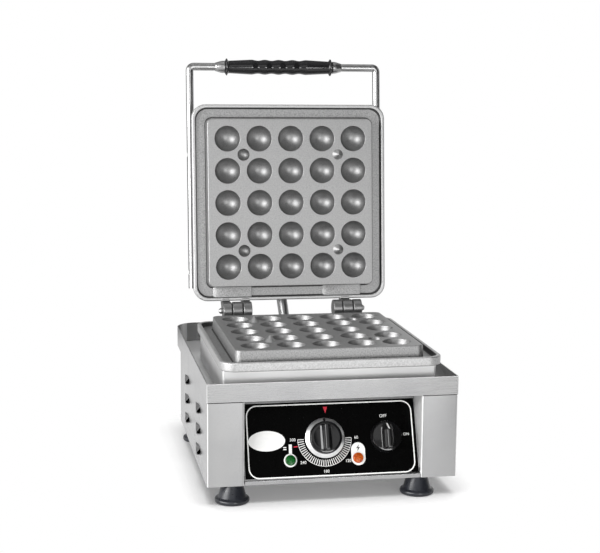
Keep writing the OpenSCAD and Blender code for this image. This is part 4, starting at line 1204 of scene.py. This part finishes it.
# %% [markdown]
# The background is white for the camera, and also for rays that come off metal or through glass, so that
# the metal shows it. Other rays get a dimmer room, which fills the shadows without washing them out. A
# plain white world would do both at once and leave the object flat.

# %% white background and dimmer room
ROOM_LEVEL, WHITE = 0.35, (1, 1, 1, 1)
world = bpy.data.worlds.new("studio")
world.use_nodes = True
bpy.context.scene.world = world
bpy.context.scene.view_settings.view_transform = "Standard"


def shows_white(tree):
    """1 for the rays that see the white background: the camera's, and those off metal or through glass."""
    ray = node(tree, "ShaderNodeLightPath").outputs
    first = {0: ray["Is Camera Ray"], 1: ray["Is Glossy Ray"]}
    either = node(tree, "ShaderNodeMath", first, operation="MAXIMUM")
    return node(tree, "ShaderNodeMath", {0: either, 1: ray["Is Transmission Ray"]}, operation="MAXIMUM")


tree = world.node_tree
backdrop = tree.nodes["Background"]
backdrop.inputs["Color"].default_value = WHITE
room = node(tree, "ShaderNodeBackground", {"Color": WHITE, "Strength": ROOM_LEVEL})
mix = node(tree, "ShaderNodeMixShader", {0: shows_white(tree), 1: room, 2: backdrop})
tree.links.new(mix.outputs[0], tree.nodes["World Output"].inputs["Surface"])
print("room level:", ROOM_LEVEL)

# %% [markdown]
# Satin metal shows what surrounds it, and in an all-white room it looks like plaster. A photographer puts
# up cards: a black one on the right gives the cups their dark sides, a bright one on the left widens
# their highlights, and grey ones in front, behind and overhead calm the rest. Only reflections see these
# cards, so they light nothing.

# %% cards that the metal reflects
CARD_BLACK = "#080808"


def standing(start, stop, low, high):
    """Corners of an upright card between two points of the floor."""
    return [(*start, low), (*stop, low), (*stop, high), (*start, high)]


def card(name, corners, level):
    mesh = bpy.data.meshes.new(name)
    mesh.from_pydata(corners, [], [range(len(corners))])
    made = bpy.data.objects.new(name, mesh)
    bpy.context.collection.objects.link(made)
    made.visible_camera = made.visible_diffuse = made.visible_shadow = made.visible_transmission = False
    board, _, shader, _ = material("matt " + name, Roughness=1.0, Specular_IOR_Level=0.0)
    shader.inputs["Base Color"].default_value = linear(CARD_BLACK)
    shader.inputs["Emission Color"].default_value = WHITE
    shader.inputs["Emission Strength"].default_value = level
    mesh.materials.append(board)


# The black card is cut away low at the back, so that the casing's right edge doesn't turn black
BLACK_X, BLACK_CORNERS = 0.9, [(-2.9, -0.4), (-1.5, -0.4), (-1.3, 0.1), (0.1, 0.1), (0.1, 2.4), (-2.9, 2.4)]
CEILING_HALF, CEILING_Z = 3, 2.5
ceiling = [(x * CEILING_HALF, y * CEILING_HALF, CEILING_Z) for x, y in ((-1, -1), (1, -1), (1, 1), (-1, 1))]
card("black card", [(BLACK_X, y, z) for y, z in BLACK_CORNERS], 0.02)
card("grey card in front", standing((-3, -3.4), (3, -3.4), 0, 1.5), 0.45)
card("grey card behind", standing((-0.8, 0.8), (0, 0.8), 0, 1.2), 0.3)
card("grey card overhead", ceiling, 0.2)
card("bright card", standing((-2.9, 0.4), (-2.3, -2.0), 0.4, 2.2), 3.0)
print("cards: one black, three grey, one bright")

# %% [markdown]
# The floor is white paper that catches the shadow. A large backdrop would show a horizon, so the paper
# turns transparent a few centimetres away from the object, and the white background takes over. The
# little glow that keeps the paper white is for the camera and reflections alone and lights nothing.

# %% floor
FLOOR_HALF, FADE_START, FADE_END, PAPER_LIFT = 3.0, 0.01, 0.07, 0.14
FOOTPRINT_HALF = (0.15, 0.19, 0)
floor_mesh = bpy.data.meshes.new("floor")
corners = [(x * FLOOR_HALF, y * FLOOR_HALF, 0) for x, y in ((-1, -1), (1, -1), (1, 1), (-1, 1))]
floor_mesh.from_pydata(corners, [], [(0, 1, 2, 3)])
floor = bpy.data.objects.new("floor", floor_mesh)
bpy.context.collection.objects.link(floor)

# Uncoated paper: matt white without any highlight
paper, tree, shader, place = material("white uncoated paper", Roughness=0.8, Specular_IOR_Level=0.0)
shader.inputs["Base Color"].default_value = linear("#eeeeee")
glow = node(tree, "ShaderNodeEmission", {"Color": WHITE, "Strength": PAPER_LIFT})
lifted = node(tree, "ShaderNodeAddShader", {0: shader, 1: glow})
from_middle = node(tree, "ShaderNodeVectorMath", {0: place}, operation="ABSOLUTE")
beyond = node(tree, "ShaderNodeVectorMath", {0: from_middle, 1: FOOTPRINT_HALF}, operation="SUBTRACT")
outside = node(tree, "ShaderNodeVectorMath", {0: beyond, 1: (0, 0, 0)}, operation="MAXIMUM")
away = node(tree, "ShaderNodeVectorMath", {0: outside}, operation="LENGTH").outputs["Value"]
fade = node(tree, "ShaderNodeMapRange", {"Value": away, "From Min": FADE_START, "From Max": FADE_END})
through = node(tree, "ShaderNodeBsdfTransparent")
faded = node(tree, "ShaderNodeMixShader", {0: fade, 1: lifted, 2: through})
shown = node(tree, "ShaderNodeMixShader", {0: shows_white(tree), 1: shader, 2: faded})
tree.links.new(shown.outputs[0], tree.nodes["Material Output"].inputs["Surface"])
floor_mesh.materials.append(paper)
print("floor:", 2 * FLOOR_HALF, "m wide, fading out from", FADE_START, "to", FADE_END, "m")

# %% [markdown]
# The key stands low and would throw one long shadow across the paper, but the photograph has only a soft
# one under the object. Light linking takes the paper out of the key's light and gives it a lamp of its
# own overhead, as a photographer would with a second exposure.

# %% which lamps light the paper
unlit = bpy.data.collections.new("not lit by the key")
unlit.objects.link(floor)
key.light_linking.receiver_collection = unlit
unlit.collection_objects[0].light_linking.link_state = "EXCLUDE"
paper_only = bpy.data.collections.new("paper only")
paper_only.objects.link(floor)
sheet_light.light_linking.receiver_collection = paper_only
print("lamp for the paper alone:", sheet_light.name)
